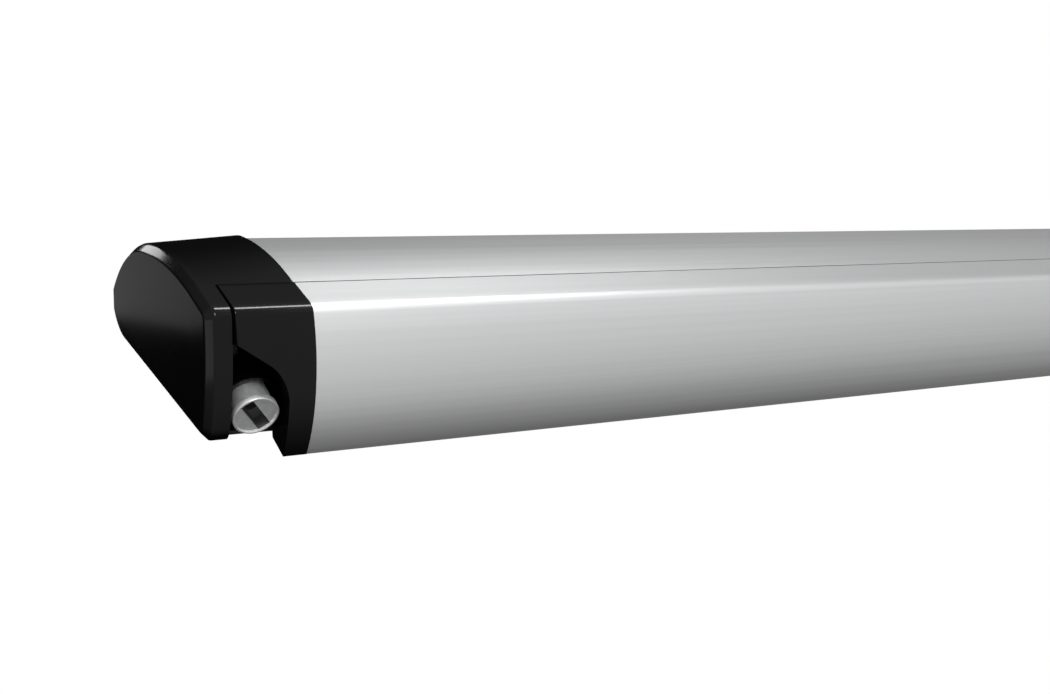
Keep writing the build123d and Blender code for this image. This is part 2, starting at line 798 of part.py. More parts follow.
with BuildPart() as elbow_pin:
    with BuildSketch(arm_plane(arm_lift)):
        with Locations((elbow_x, elbow_back)):
            Circle(arm_pin_radius - running_gap)
    extrude(amount=tube_height)
    for up, way in ((arm_lift, -1), (arm_lift + tube_height, 1)):
        with BuildSketch(arm_plane(up)):
            with Locations((elbow_x, elbow_back)):
                Circle(arm_pin_radius + pin_head)
        extrude(amount=way * pin_head)
write_pair(elbow_pin, "elbow_pin")

# Gas spring inside each upper arm, between the two castings' plugs
with BuildPart() as arm_spring:
    with BuildSketch(tube_plane(tube_start_x + plug_length, shoulder_back, tube_middle)):
        Circle(spring_radius)
    extrude(amount=spring_body_length)
    with BuildSketch(tube_plane(tube_start_x + plug_length + spring_body_length, shoulder_back, tube_middle)):
        Circle(spring_rod_radius)
    extrude(amount=tube_end_x - tube_start_x - 2 * plug_length - spring_body_length)
write_pair(arm_spring, "arm_spring")


def floor_level(up):
    """Z, at the back of the front rail, of a plane that lies so far above the floor."""
    return floor_front[1] + (case_wall + up) / cos(floor_tilt) + (rail_back - floor_front[0]) * tan(floor_tilt)


# Places of the rivets that hold the wrist brackets on the front rail
lower_ear = arm_lift - arm_gap - wrist_ear
wrist_bottom = floor_level(lower_ear)
wrist_top = floor_level(plate_up + wrist_ear)
rivets_at = [
    (side * (shoulder_x + row * (wrist_plate_width / 2 - rivet_edge)), wrist_top - rivet_edge - drop)
    for side in (1, -1)
    for row in (1, -1)
    for drop in (0, rivet_pitch)
]

# Front rail: a closed chamber with a groove for the canopy's rod, over a skirt that hides the legs
with BuildPart() as rail_section:
    with BuildSketch(Plane.YZ.offset(-profile_half)):
        add(rail_face())
        offset(amount=-rail_wall, mode=Mode.SUBTRACT)
        with Locations((rail_back, web_bottom)):
            Rectangle(-place(rail_bow_share)[0] + rail_back - rail_wall, rail_wall, align=(Align.MAX, Align.MIN))
        with Locations((leg_front - leg_play, web_bottom)):
            Rectangle(section_depth, section_height, align=(Align.MIN, Align.MAX), mode=Mode.SUBTRACT)
        with Locations((hem_y, hem_z)):
            Circle(keder_radius + keder_gap + keder_wall)
            Circle(keder_radius + keder_gap, mode=Mode.SUBTRACT)
        with Locations(Location((hem_y, hem_z, 0), degrees(sheet_angle))):
            Rectangle(overrun, keder_mouth, align=(Align.MIN, Align.CENTER), mode=Mode.SUBTRACT)
    extrude(amount=2 * profile_half)

with BuildPart() as lead_rail_profile:
    add(rail_section.part)
    split(bisect_by=Plane.XY.offset(web_bottom), keep=Keep.TOP)
    with BuildSketch(Plane.XZ.offset(-(rail_back + rail_wall))):
        with Locations(*rivets_at):
            Circle(bracket_screw_radius + seat_gap)
    extrude(amount=3 * rail_wall, mode=Mode.SUBTRACT)
lead_rail_profile.part.label = "lead_rail_profile"
export_step(lead_rail_profile.part, "parts/lead_rail_profile.step")

with BuildPart() as lead_rail_skirt:
    add(rail_section.part)
    split(bisect_by=Plane.XY.offset(web_bottom), keep=Keep.BOTTOM)
lead_rail_skirt.part.label = "lead_rail_skirt"
export_step(lead_rail_skirt.part, "parts/lead_rail_skirt.step")

# Front rail's end caps, with a recess that leaves the crank socket free
border_x = -profile_half
recess_points = [
    (border_x - rail_cap_length - overrun, recess_top_share * section_height),
    (border_x - rail_cap_length, recess_top_share * section_height),
    (border_x - recess_shelf, recess_shelf_share * section_height),
    (border_x - recess_turn, recess_turn_share * section_height),
    (border_x - recess_neck, recess_neck_share * section_height),
    (border_x - recess_foot, -section_height),
    (border_x - rail_cap_length - overrun, -section_height),
]
with BuildPart() as rail_cap:
    with BuildSketch(Plane.YZ.offset(-profile_half)):
        add(rail_face(rail_cap_proud))
    extrude(amount=-rail_cap_length)
    with BuildSketch(Plane.XZ.offset(section_depth + overrun)):
        Polygon(*recess_points, align=None)
    extrude(amount=-section_depth, mode=Mode.SUBTRACT)
write_pair(rail_cap, "rail_cap")

# Wrist brackets: a plate on the back of the rail with an ear above and below each forearm's knuckle
with BuildPart() as wrist_bracket:
    with BuildSketch(Plane.XZ.offset(-rail_back)):
        with Locations((shoulder_x, wrist_bottom)):
            Rectangle(wrist_plate_width, wrist_top - wrist_bottom, align=(Align.CENTER, Align.MIN))
        with Locations(*rivets_at):
            Circle(bracket_screw_radius + seat_gap, mode=Mode.SUBTRACT)
    extrude(amount=-wrist_plate)
    for up in (lower_ear, plate_up):
        with BuildSketch(arm_plane(up)):
            with Locations((shoulder_x, wrist_back)):
                Circle(knuckle_radius)
                Rectangle(2 * knuckle_radius, 2 * wrist_back, align=(Align.CENTER, Align.MAX))
        extrude(amount=wrist_ear)
    with BuildSketch(Plane.XZ.offset(-rail_back)):
        Rectangle(awning_length, 2 * section_height)
    extrude(amount=section_depth, mode=Mode.SUBTRACT)
    with BuildSketch(arm_plane(0)):
        with Locations((shoulder_x, wrist_back)):
            Circle(arm_pin_radius)
    extrude(amount=section_height, mode=Mode.SUBTRACT)
write_pair(wrist_bracket, "wrist_bracket")

# The wrists' pins, and the rivets that hold both brackets on the rail
with BuildPart() as wrist_fasteners:
    with BuildSketch(arm_plane(lower_ear)):
        with Locations((shoulder_x, wrist_back)):
            Circle(arm_pin_radius - running_gap)
    extrude(amount=plate_up + wrist_ear - lower_ear)
    with BuildSketch(arm_plane(plate_up + wrist_ear)):
        with Locations((shoulder_x, wrist_back)):
            Circle(arm_pin_radius + pin_head)
    extrude(amount=pin_head)
    mirror(about=Plane.YZ)
    with BuildSketch(Plane.XZ.offset(-(rail_back + wrist_plate))):
        with Locations(*rivets_at):
            Circle(rivet_head)
    extrude(amount=-pin_head)
    with BuildSketch(Plane.XZ.offset(-(rail_back + wrist_plate))):
        with Locations(*rivets_at):
            Circle(bracket_screw_radius)
    extrude(amount=wrist_plate + rail_wall)
    with BuildSketch(Plane.XZ.offset(-(rail_back - rail_wall))):
        with Locations(*rivets_at):
            Circle(rivet_head)
    extrude(amount=pin_head)
wrist_fasteners.part.label = "wrist_fasteners"
export_step(wrist_fasteners.part, "parts/wrist_fasteners.step")

# Canopy: the rod in the rail's groove and the stretch of cloth from it to the roll
with BuildPart() as hem_rod:
    with BuildSketch(Plane.YZ.offset(-canopy_half)):
        with Locations((hem_y, hem_z)):
            Circle(keder_radius)
    extrude(amount=2 * canopy_half)
hem_rod.part.label = "hem_rod"
export_step(hem_rod.part, "parts/hem_rod.step")

sheet_plane = Plane(
    origin=(-canopy_half, hem_y, hem_z), x_dir=(0, cos(sheet_angle), sin(sheet_angle)), z_dir=(1, 0, 0)
)
with BuildPart() as canopy_sheet:
    with BuildSketch(sheet_plane):
        with Locations((keder_radius + seat_gap, 0)):
            Rectangle(
                sheet_span - keder_radius - seat_gap, canopy_thickness, align=(Align.MIN, Align.CENTER)
            )
    extrude(amount=2 * canopy_half)
canopy_sheet.part.label = "canopy_sheet"
export_step(canopy_sheet.part, "parts/canopy_sheet.step")

# Legs, folded under the rail's web. Each hangs on a pin across two cheeks
leg_inner_width = leg_thickness - 2 * (leg_wall + slide_gap)
leg_inner_height = leg_height - 2 * (leg_wall + slide_gap)
collar_x = leg_x + leg_collar_station
collar_bottom = rail_toe[1] + leg_play
collar_height = leg_top - collar_bottom
lever_slot = leg_plug_thickness + 2 * leg_play
lever_z = collar_bottom + lever_height / 2
lever_x = collar_x + leg_collar_length - lever_end
cheek_gap = leg_plug_thickness / 2 + leg_play / 2


def leg_plane(x):
    """A plane across a leg, centred on it."""
    return Plane(origin=(x, leg_y, leg_z), x_dir=(0, 1, 0), z_dir=(1, 0, 0))


def leg_side(y_offset=0):
    """A plane along a leg, facing the front: its x and y are X and Z."""
    return Plane.XZ.offset(-(leg_y + y_offset))


with BuildPart() as leg_bracket:
    with BuildSketch(leg_side(leg_thickness / 2)):
        with Locations((leg_x, leg_z)):
            Circle(cheek_radius)
        with Locations((leg_x, web_bottom)):
            Rectangle(2 * cheek_radius, web_bottom - leg_z, align=(Align.CENTER, Align.MAX))
    extrude(amount=leg_thickness)
    with BuildSketch(leg_side(cheek_gap)):
        with Locations((leg_x, leg_top + leg_play)):
            Rectangle(4 * cheek_radius, section_height, align=(Align.CENTER, Align.MAX))
    extrude(amount=2 * cheek_gap, mode=Mode.SUBTRACT)
    with BuildSketch(leg_side(leg_thickness)):
        with Locations((leg_x, leg_z)):
            Circle(leg_pin_radius)
    extrude(amount=2 * leg_thickness, mode=Mode.SUBTRACT)
write_pair(leg_bracket, "leg_bracket")

with BuildPart() as leg_pins:
    with BuildSketch(leg_side(leg_thickness / 2)):
        with Locations((leg_x, leg_z)):
            Circle(leg_pin_radius - running_gap)
    extrude(amount=leg_thickness)
    mirror(about=Plane.YZ)
leg_pins.part.label = "leg_pins"
export_step(leg_pins.part, "parts/leg_pins.step")

with BuildPart() as leg_hinge:
    with BuildSketch(leg_side(leg_plug_thickness / 2)):
        with Locations((leg_x, leg_z)):
            Circle(leg_plug_radius)
        with Locations((leg_x + leg_root, leg_z)):
            Rectangle(knuckle_root, leg_height - 2 * leg_corner, align=(Align.MAX, Align.CENTER))
        make_hull()
    extrude(amount=leg_plug_thickness)
    with BuildSketch(leg_plane(leg_x + leg_root)):
        RectangleRounded(leg_thickness, leg_height, leg_corner)
    extrude(amount=-knuckle_root)
    with BuildSketch(leg_plane(leg_x + leg_root)):
        RectangleRounded(
            leg_thickness - 2 * (leg_wall + seat_gap), leg_height - 2 * (leg_wall + seat_gap), leg_corner - leg_wall
        )
    extrude(amount=plug_length)
    with BuildSketch(leg_side(leg_thickness)):
        with Locations((leg_x, leg_z)):
            Circle(leg_pin_radius)
    extrude(amount=2 * leg_thickness, mode=Mode.SUBTRACT)
write_pair(leg_hinge, "leg_hinge")

with BuildPart() as leg_tube:
    with BuildSketch(leg_plane(leg_x + leg_root)):
        RectangleRounded(leg_thickness, leg_height, leg_corner)
        RectangleRounded(
            leg_thickness - 2 * leg_wall, leg_height - 2 * leg_wall, leg_corner - leg_wall, mode=Mode.SUBTRACT
        )
    extrude(amount=leg_collar_station - leg_root)
write_pair(leg_tube, "leg_tube")

with BuildPart() as leg_collar:
    with BuildSketch(leg_plane(collar_x)):
        with Locations((0, leg_height / 2)):
            Rectangle(leg_thickness, collar_height, align=(Align.CENTER, Align.MAX))
    extrude(amount=leg_collar_length)
    fillet(leg_collar.edges().filter_by(Axis.X), radius=leg_wall)
    with BuildSketch(leg_plane(collar_x)):
        Rectangle(leg_inner_width + 2 * slide_gap, leg_inner_height + 2 * slide_gap)
    extrude(amount=leg_collar_length, mode=Mode.SUBTRACT)
    with BuildSketch(leg_plane(collar_x)):
        with Locations((0, -leg_height / 2)):
            Rectangle(lever_slot, section_height, align=(Align.CENTER, Align.MAX))
    extrude(amount=leg_collar_length, mode=Mode.SUBTRACT)
    with BuildSketch(leg_side(leg_thickness)):
        with Locations((lever_x, lever_z)):
            Circle(lever_pin_radius + running_gap)
    extrude(amount=2 * leg_thickness, mode=Mode.SUBTRACT)
write_pair(leg_collar, "leg_collar")

with BuildPart() as leg_lever:
    with BuildSketch(leg_side(leg_plug_thickness / 2)):
        with Locations((lever_x, lever_z)):
            Circle(lever_height / 2)
            Rectangle(lever_length - lever_height / 2, lever_height, align=(Align.MAX, Align.CENTER))
    extrude(amount=leg_plug_thickness)
    with BuildSketch(leg_side(leg_thickness / 2)):
        with Locations((lever_x, lever_z)):
            Circle(lever_pin_radius)
    extrude(amount=leg_thickness)
write_pair(leg_lever, "leg_lever")

foot_x = leg_x + leg_stowed - foot_length
with BuildPart() as leg_inner:
    with BuildSketch(leg_plane(leg_x + leg_inner_start)):
        RectangleRounded(leg_inner_width, leg_inner_height, leg_corner - leg_wall - slide_gap)
        Rectangle(leg_inner_width - 2 * leg_wall, leg_inner_height - 2 * leg_wall, mode=Mode.SUBTRACT)
    extrude(amount=foot_x - leg_x - leg_inner_start)
write_pair(leg_inner, "leg_inner")

with BuildPart() as leg_foot:
    with BuildSketch(leg_plane(foot_x)):
        with Locations((0, leg_height / 2)):
            Rectangle(leg_thickness, collar_height, align=(Align.CENTER, Align.MAX))
    extrude(amount=foot_length)
    fillet(leg_foot.edges().filter_by(Axis.Y), radius=leg_corner)
    with BuildSketch(leg_plane(foot_x)):
        Rectangle(leg_inner_width - 2 * (leg_wall + seat_gap), leg_inner_height - 2 * (leg_wall + seat_gap))
    extrude(amount=-plug_length)
    with BuildSketch(leg_side(leg_thickness)):
        with Locations((foot_x + foot_length / 2, leg_z)):
            Circle(peg_hole_radius)
    extrude(amount=2 * leg_thickness, mode=Mode.SUBTRACT)
write_pair(leg_foot, "leg_foot")
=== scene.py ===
"""A cassette awning, closed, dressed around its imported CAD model.

X runs along the awning, -Y is its front and +Z is up, in metres. The CAD nodes keep their places;
the canopy is a piece of its own here, because the CAD only has a closed solid for the cloth.
"""

import json
import math

import bmesh
import bpy
import numpy as np
from mathutils import Matrix, Vector

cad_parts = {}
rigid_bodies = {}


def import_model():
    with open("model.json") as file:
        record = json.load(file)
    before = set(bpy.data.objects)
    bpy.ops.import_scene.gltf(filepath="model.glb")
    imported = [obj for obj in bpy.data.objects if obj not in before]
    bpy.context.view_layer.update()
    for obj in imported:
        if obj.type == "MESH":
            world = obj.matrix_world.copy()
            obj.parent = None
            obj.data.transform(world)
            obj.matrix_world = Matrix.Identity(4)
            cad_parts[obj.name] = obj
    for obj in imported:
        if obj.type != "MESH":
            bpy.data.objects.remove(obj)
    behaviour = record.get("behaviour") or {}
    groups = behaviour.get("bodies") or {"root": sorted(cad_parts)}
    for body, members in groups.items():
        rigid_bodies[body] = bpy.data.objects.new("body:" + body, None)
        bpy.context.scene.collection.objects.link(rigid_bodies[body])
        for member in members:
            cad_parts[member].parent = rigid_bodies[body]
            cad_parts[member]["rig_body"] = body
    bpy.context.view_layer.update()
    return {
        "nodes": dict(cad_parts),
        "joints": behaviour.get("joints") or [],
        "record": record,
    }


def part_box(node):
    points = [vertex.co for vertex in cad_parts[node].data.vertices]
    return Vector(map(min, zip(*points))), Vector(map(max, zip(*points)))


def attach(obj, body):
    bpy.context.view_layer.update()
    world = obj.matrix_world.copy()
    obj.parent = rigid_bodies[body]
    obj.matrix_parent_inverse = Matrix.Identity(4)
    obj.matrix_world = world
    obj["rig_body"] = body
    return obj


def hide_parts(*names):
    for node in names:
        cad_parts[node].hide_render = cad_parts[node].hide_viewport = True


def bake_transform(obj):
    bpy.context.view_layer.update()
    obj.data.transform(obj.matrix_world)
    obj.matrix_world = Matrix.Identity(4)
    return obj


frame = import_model()
nodes = frame["nodes"]
SIDES = ("left", "right")
MERGE_DISTANCE = 0.000002
SHARP_ANGLE = math.radians(32)


def add_object(name, data):
    """An object with this data, in the scene."""
    thing = bpy.data.objects.new(name, data)
    bpy.context.scene.collection.objects.link(thing)
    return thing


def joint(name):
    """A joint of the frame."""
    return next(j for j in frame["joints"] if j["name"] == name)


# Camera: stands in front of the left end, a little above it
def make_camera():
    """A camera with the photograph's lens, from its place and the direction that it looks in."""
    place = Vector((-1.5561, -0.9179, 0.0592))
    right = Vector((0.8414, -0.5404, 0.0)).normalized()
    ahead = Vector((0.5376, 0.8371, -0.1013)).normalized()
    up = right.cross(ahead).normalized()
    data = bpy.data.cameras.new("camera")
    data.lens = 46.11
    data.sensor_width = 36
    data.clip_start, data.clip_end = 0.01, 100
    camera = add_object("camera", data)
    turn = Matrix((right, up, -ahead)).transposed()
    camera.matrix_world = Matrix.Translation(place) @ turn.to_4x4()
    bpy.context.scene.camera = camera


make_camera()


# Studio: how its brightness leans, how far that runs either way, and its grey from dark to bright
studio_lean = (-0.15, -1.05, 0.68)
studio_reach = 1.25
studio_strength = 0.8
studio_greys = (
    (0.0, 0.006),
    (0.2, 0.008),
    (0.31, 0.02),
    (0.42, 0.16),
    (0.55, 0.5),
    (0.7, 0.9),
    (1.0, 1.0),
)


def make_world():
    """White for the camera. Reflections and light get the studio: bright above and in front, dark below."""
    world = bpy.data.worlds.new("studio")
    bpy.context.scene.world = world
    world.use_nodes = True
    tree = world.node_tree
    tree.nodes.clear()
    link = tree.links.new
    direction = tree.nodes.new("ShaderNodeTexCoord")
    lean = tree.nodes.new("ShaderNodeVectorMath")
    lean.operation = "DOT_PRODUCT"
    lean.inputs[1].default_value = studio_lean
    link(direction.outputs["Generated"], lean.inputs[0])
    height = tree.nodes.new("ShaderNodeMapRange")
    height.inputs["From Min"].default_value = -studio_reach
    height.inputs["From Max"].default_value = studio_reach
    link(lean.outputs["Value"], height.inputs["Value"])
    ramp = tree.nodes.new("ShaderNodeValToRGB")
    ramp.color_ramp.interpolation = "B_SPLINE"
    elements = ramp.color_ramp.elements
    while len(elements) < len(studio_greys):
        elements.new(0.5)
    for element, (at, grey) in zip(elements, studio_greys):
        element.position = at
        element.color = (grey, grey, grey, 1)
    link(height.outputs["Result"], ramp.inputs["Fac"])
    studio = tree.nodes.new("ShaderNodeBackground")
    studio.inputs["Strength"].default_value = studio_strength
    link(ramp.outputs["Color"], studio.inputs["Color"])
    white = tree.nodes.new("ShaderNodeBackground")
    white.inputs["Color"].default_value = (1, 1, 1, 1)
    rays = tree.nodes.new("ShaderNodeLightPath")
    mix = tree.nodes.new("ShaderNodeMixShader")
    link(rays.outputs["Is Camera Ray"], mix.inputs["Fac"])
    link(studio.outputs["Background"], mix.inputs[1])
    link(white.outputs["Background"], mix.inputs[2])
    out = tree.nodes.new("ShaderNodeOutputWorld")
    link(mix.outputs["Shader"], out.inputs["Surface"])


def make_lamp(name, place, target, size, power):
    """A square soft box at place, facing target."""
    data = bpy.data.lights.new(name, "AREA")
    data.shape = "RECTANGLE"
    data.size, data.size_y = size
    data.energy = power
    lamp = add_object(name, data)
    lamp.location = place
    lamp.rotation_euler = (Vector(target) - Vector(place)).to_track_quat("-Z", "Y").to_euler()


make_world()
make_lamp("key_light", (-1.7, -2.3, 2.1), (-1.0, -0.15, 0), (1.2, 0.9), 40)
make_lamp("face_light", (-1.9, 2.0, 0.06), (-1.3, -0.05, 0), (0.8, 0.5), 0.35)
make_lamp("rim_light", (-3.2, -0.6, -0.2), (-1.3, -0.17, -0.03), (0.6, 0.8), 1.6)
make_lamp("edge_light", (-0.35, -0.42, 1.6), (-0.9, -0.18, 0), (1.3, 0.08), 0.8)
make_lamp("cap_edge_light", (-0.76, -0.2, 1.5), (-1.27, -0.18, 0), (0.28, 0.5), 10)
make_lamp("chamfer_light", (-1.6, 1.85, 0.85), (-1.3, -0.05, 0.03), (0.5, 0.45), 2.6)
make_lamp("far_light", (0.9, -2.4, 2.0), (0.0, -0.1, 0), (2.0, 1.4), 3)
bpy.context.scene.view_settings.view_transform = "Standard"


# Finishes: noise mostly stays between these two values, and a moulded face changes its gloss slowly
grain_low, grain_high = 0.3, 0.7
even = (1, 1, 1)
gloss_scale = 9


def new_material(name):
    """An empty material with its Principled shader, ready for a finish."""
    material = bpy.data.materials.new(name)
    material.use_nodes = True
    shader = material.node_tree.nodes["Principled BSDF"]
    return material, material.node_tree, shader


def add_noise(tree, scale, stretch=even, detail=3):
    """Noise on Object coordinates, stretched by three factors: a low factor makes it long that way."""
    place = tree.nodes.new("ShaderNodeTexCoord")
    mapping = tree.nodes.new("ShaderNodeMapping")
    mapping.inputs["Scale"].default_value = stretch
    noise = tree.nodes.new("ShaderNodeTexNoise")
    noise.inputs["Scale"].default_value = scale
    noise.inputs["Detail"].default_value = detail
    tree.links.new(place.outputs["Object"], mapping.inputs["Vector"])
    tree.links.new(mapping.outputs["Vector"], noise.inputs["Vector"])
    return noise.outputs["Fac"]


def add_range(tree, value, low, high):
    """The value spread between low and high."""
    spread = tree.nodes.new("ShaderNodeMapRange")
    spread.inputs["From Min"].default_value = grain_low
    spread.inputs["From Max"].default_value = grain_high
    spread.inputs["To Min"].default_value = low
    spread.inputs["To Max"].default_value = high
    tree.links.new(value, spread.inputs["Value"])
    return spread.outputs["Result"]


def add_tint(tree, value, low, high):
    """A colour between two, by the value."""
    ramp = tree.nodes.new("ShaderNodeValToRGB")
    ramp.color_ramp.elements[0].position = grain_low
    ramp.color_ramp.elements[1].position = grain_high
    ramp.color_ramp.elements[0].color = (*low, 1)
    ramp.color_ramp.elements[1].color = (*high, 1)
    tree.links.new(value, ramp.inputs["Fac"])
    return ramp.outputs["Color"]


def add_bump(tree, shader, value, depth):
    """Bump of that depth, in metres, on the shader."""
    bump = tree.nodes.new("ShaderNodeBump")
    bump.inputs["Distance"].default_value = depth
    bump.inputs["Strength"].default_value = 1.0
    tree.links.new(value, bump.inputs["Height"])
    tree.links.new(bump.outputs["Normal"], shader.inputs["Normal"])


def metal_finish(name, dark, light, rough, scale, stretch, depth, metallic=1.0):
    """A metal whose grain is noise stretched along its draw. It varies the colour, gloss and height."""
    material, tree, shader = new_material(name)
    grain = add_noise(tree, scale, stretch)
    shader.inputs["Metallic"].default_value = metallic
    tree.links.new(add_tint(tree, grain, dark, light), shader.inputs["Base Color"])
    tree.links.new(add_range(tree, grain, rough[0], rough[1]), shader.inputs["Roughness"])
    add_bump(tree, shader, grain, depth)
    return material


def plastic_finish(name, dark, light, rough, scale, depth, shine=0.4):
    """A moulded plastic or rubber: fine even grain, with a slow change of gloss."""
    material, tree, shader = new_material(name)
    grain = add_noise(tree, scale, detail=2)
    slow = add_noise(tree, gloss_scale)
    shader.inputs["Specular IOR Level"].default_value = shine
    tree.links.new(add_tint(tree, slow, dark, light), shader.inputs["Base Color"])
    tree.links.new(add_range(tree, slow, rough[0], rough[1]), shader.inputs["Roughness"])
    add_bump(tree, shader, grain, depth)
    return material


# Metals: darkest, lightest, roughness, grain scale, grain stretch, grain depth, and how metallic if not fully
metals = {
    "satin_aluminium": ((0.72, 0.725, 0.73), (0.75, 0.755, 0.76), (0.44, 0.48), 60, (0.03, 10, 10), 0.000003),
    "arm_aluminium": ((0.66, 0.67, 0.68), (0.76, 0.77, 0.78), (0.28, 0.38), 60, (0.05, 10, 10), 0.00001),
    "cast_aluminium": ((0.42, 0.43, 0.44), (0.6, 0.6, 0.61), (0.42, 0.6), 500, even, 0.00004),
    "plated_steel": ((0.5, 0.5, 0.5), (0.66, 0.66, 0.65), (0.25, 0.4), 250, even, 0.00001),
    "roller_steel": ((0.45, 0.46, 0.48), (0.62, 0.63, 0.65), (0.3, 0.5), 40, even, 0.00001),
    "socket_metal": ((0.74, 0.75, 0.75), (0.88, 0.89, 0.89), (0.28, 0.38), 350, even, 0.000004, 0.72),
    "wheel_brass": ((0.6, 0.42, 0.18), (0.75, 0.56, 0.26), (0.25, 0.4), 200, even, 0.00001),
}
# Plastics and rubbers: darkest, lightest, roughness, grain scale, grain depth, and the shine if not the usual
plastics = {
    "black_moulding": (
        (0.0014, 0.0014, 0.0017), (0.0022, 0.0022, 0.0026), (0.12, 0.15), 900, 0.0000004, 0.2
    ),
    "black_plastic": ((0.018, 0.018, 0.018), (0.026, 0.026, 0.026), (0.45, 0.55), 700, 0.00002),
    "foot_rubber": ((0.02, 0.02, 0.02), (0.035, 0.035, 0.035), (0.7, 0.85), 600, 0.00003),
    "seal_rubber": ((0.03, 0.03, 0.03), (0.05, 0.05, 0.05), (0.6, 0.75), 500, 0.00001),
    "spring_black": ((0.01, 0.01, 0.01), (0.016, 0.016, 0.016), (0.2, 0.3), 600, 0.000005),
    "hem_plastic": ((0.68, 0.68, 0.66), (0.75, 0.75, 0.73), (0.5, 0.6), 600, 0.00001),
    "slot_shadow": ((0.07, 0.07, 0.07), (0.11, 0.11, 0.11), (0.6, 0.7), 300, 0.00001),
    "canopy_fabric": ((0.35, 0.36, 0.38), (0.4, 0.41, 0.43), (0.6, 0.7), 600, 0.00001),
}
finishes = {name: metal_finish(name, *values) for name, values in metals.items()}
finishes.update({name: plastic_finish(name, *values) for name, values in plastics.items()})
for entry in frame["record"]["subparts"]:
    mesh = nodes[entry["node"]].data
    mesh.materials.clear()
    mesh.materials.append(finishes[entry["material_slot"]])


def grid_piece(name, points, cloth_map):
    """A smooth open mesh over a grid of points, rows by columns, with a map of U by column and V by row."""
    rows, columns = points.shape[:2]
    index = np.arange(rows * columns).reshape(rows, columns)
    above, below = index[:-1], index[1:]
    quads = np.stack([above[:, :-1], above[:, 1:], below[:, 1:], below[:, :-1]], axis=-1).reshape(-1, 4)
    mesh = bpy.data.meshes.new(name)
    mesh.from_pydata(points.reshape(-1, 3), [], quads)
    u = np.broadcast_to(cloth_map[0], (rows, columns)).ravel()
    v = np.broadcast_to(cloth_map[1], (rows, columns)).ravel()
    layer = mesh.uv_layers.new(name="cloth")
    layer.data.foreach_set("uv", np.stack([u, v], axis=1)[quads.ravel()].astype(np.float32).ravel())
    mesh.polygons.foreach_set("use_smooth", np.ones(len(quads), bool))
    mesh.update()
    return add_object(name, mesh)


def ring_mesh(name, rings, filled=True):
    """A mesh over rings of points, one after another. Four-sided faces join each ring to the next, and the
    first and last ring are filled in, unless it's a tube whose last ring lies on its first."""
    count, around = rings.shape[:2]
    index = np.arange(count * around).reshape(count, around)
    onward = np.roll(index, -1, axis=1)
    faces = np.stack([index[:-1], onward[:-1], onward[1:], index[1:]], axis=-1).reshape(-1, 4).tolist()
    if filled:
        faces += [index[0][::-1].tolist(), index[-1].tolist()]
    mesh = bpy.data.meshes.new(name)
    mesh.from_pydata(rings.reshape(-1, 3), [], faces)
    return mesh


def rework(mesh, merge, outwards):
    """Smooth a mesh, after merging its doubles and turning its faces outwards, each where asked."""
    shell = bmesh.new()
    shell.from_mesh(mesh)
    if merge:
        bmesh.ops.remove_doubles(shell, verts=shell.verts, dist=MERGE_DISTANCE)
    if outwards:
        bmesh.ops.recalc_face_normals(shell, faces=shell.faces)
    shell.to_mesh(mesh)
    shell.free()
    mesh.shade_smooth()


def closed_piece(name, rings, body, finish, filled=True):
    """A closed shell over rings of points: faces outwards, smooth but for its sharp edges, riding a body."""
    mesh = ring_mesh(name, rings, filled)
    rework(mesh, merge=True, outwards=True)
    mesh.set_sharp_from_angle(angle=SHARP_ANGLE)
    mesh.materials.append(finishes[finish])
    piece = add_object(name, mesh)
    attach(piece, body)
    return piece


def smooth_copy(entry):
    """A merged copy of a CAD node's mesh, so that its round faces are shaded as round."""
    source = nodes[entry["node"]]
    mesh = source.data.copy()
    rework(mesh, merge=True, outwards=False)
    mesh.set_sharp_from_angle(angle=SHARP_ANGLE)
    piece = add_object(entry["node"] + "_smooth", mesh)
    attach(piece, source["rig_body"])
    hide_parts(entry["node"])
    return piece


def volume_of(mesh):
    """The volume that a closed mesh holds."""
    shell = bmesh.new()
    shell.from_mesh(mesh)
    volume = abs(shell.calc_volume())
    shell.free()
    return volume


def cut_away(piece, cutters):
    """Take closed cutters out of a piece, for good. Losing over half of it means that a cut went wrong."""
    for cutter in cutters:
        cut = piece.modifiers.new("cut", "BOOLEAN")
        cut.operation = "DIFFERENCE"
        cut.solver = "EXACT"
        cut.object = cutter
        cut.material_mode = "TRANSFER"
    graph = bpy.context.evaluated_depsgraph_get()
    mesh = bpy.data.meshes.new_from_object(piece.evaluated_get(graph))
    if volume_of(mesh) < 0.5 * volume_of(piece.data):
        raise ValueError(f"{piece.name} lost most of itself in a cut")
    piece.modifiers.clear()
    mesh.name = piece.name
    piece.data = mesh
    mesh.set_sharp_from_angle(angle=SHARP_ANGLE)
    for cutter in cutters:
        bpy.data.objects.remove(cutter)


def cutter_of(name, rings, finish):
    """A closed cutter over rings of points, which leaves its finish on what it cuts."""
    mesh = ring_mesh(name, rings)
    rework(mesh, merge=False, outwards=True)
    mesh.materials.append(finishes[finish])
    return add_object(name, mesh)


# Section of the case: shares of its depth, forward of the wall, and of its height, above the land
section_depth = -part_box("lead_rail_profile")[0].y
section_height = 0.129
border = -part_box("case_profile")[1].x
cap_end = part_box("end_cap_left")[0].x
ear_inside = cap_end + 0.015
rail_cap_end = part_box("rail_cap_left")[0].x
lip_share = (0.834, 0.125)
crown_share = (0.639, 0.240)
crest_share = (0.383, 0.316)
back_share = (0.118, 0.216)
land_share = (0, 0.062)
nose_share = (0.041, -0.147)
floor_back_share = (0.130, -0.228)
floor_front_share = (0.834, -0.543)
ear_corner_share = (0.972, 0.024)
ear_bow_share = (0.971, -0.285)
ear_bottom_share = 0.921
rail_corner_share = (0.979, 0.023)
rail_bow_share = (1.000, -0.178)
rail_waist_share = (0.992, -0.367)
rail_toe_share = (0.912, -0.671)
rail_heel_share = (0.848, -0.597)
crown_lift = 0.002
crown_drop = 0.003
cap_wall = 0.003
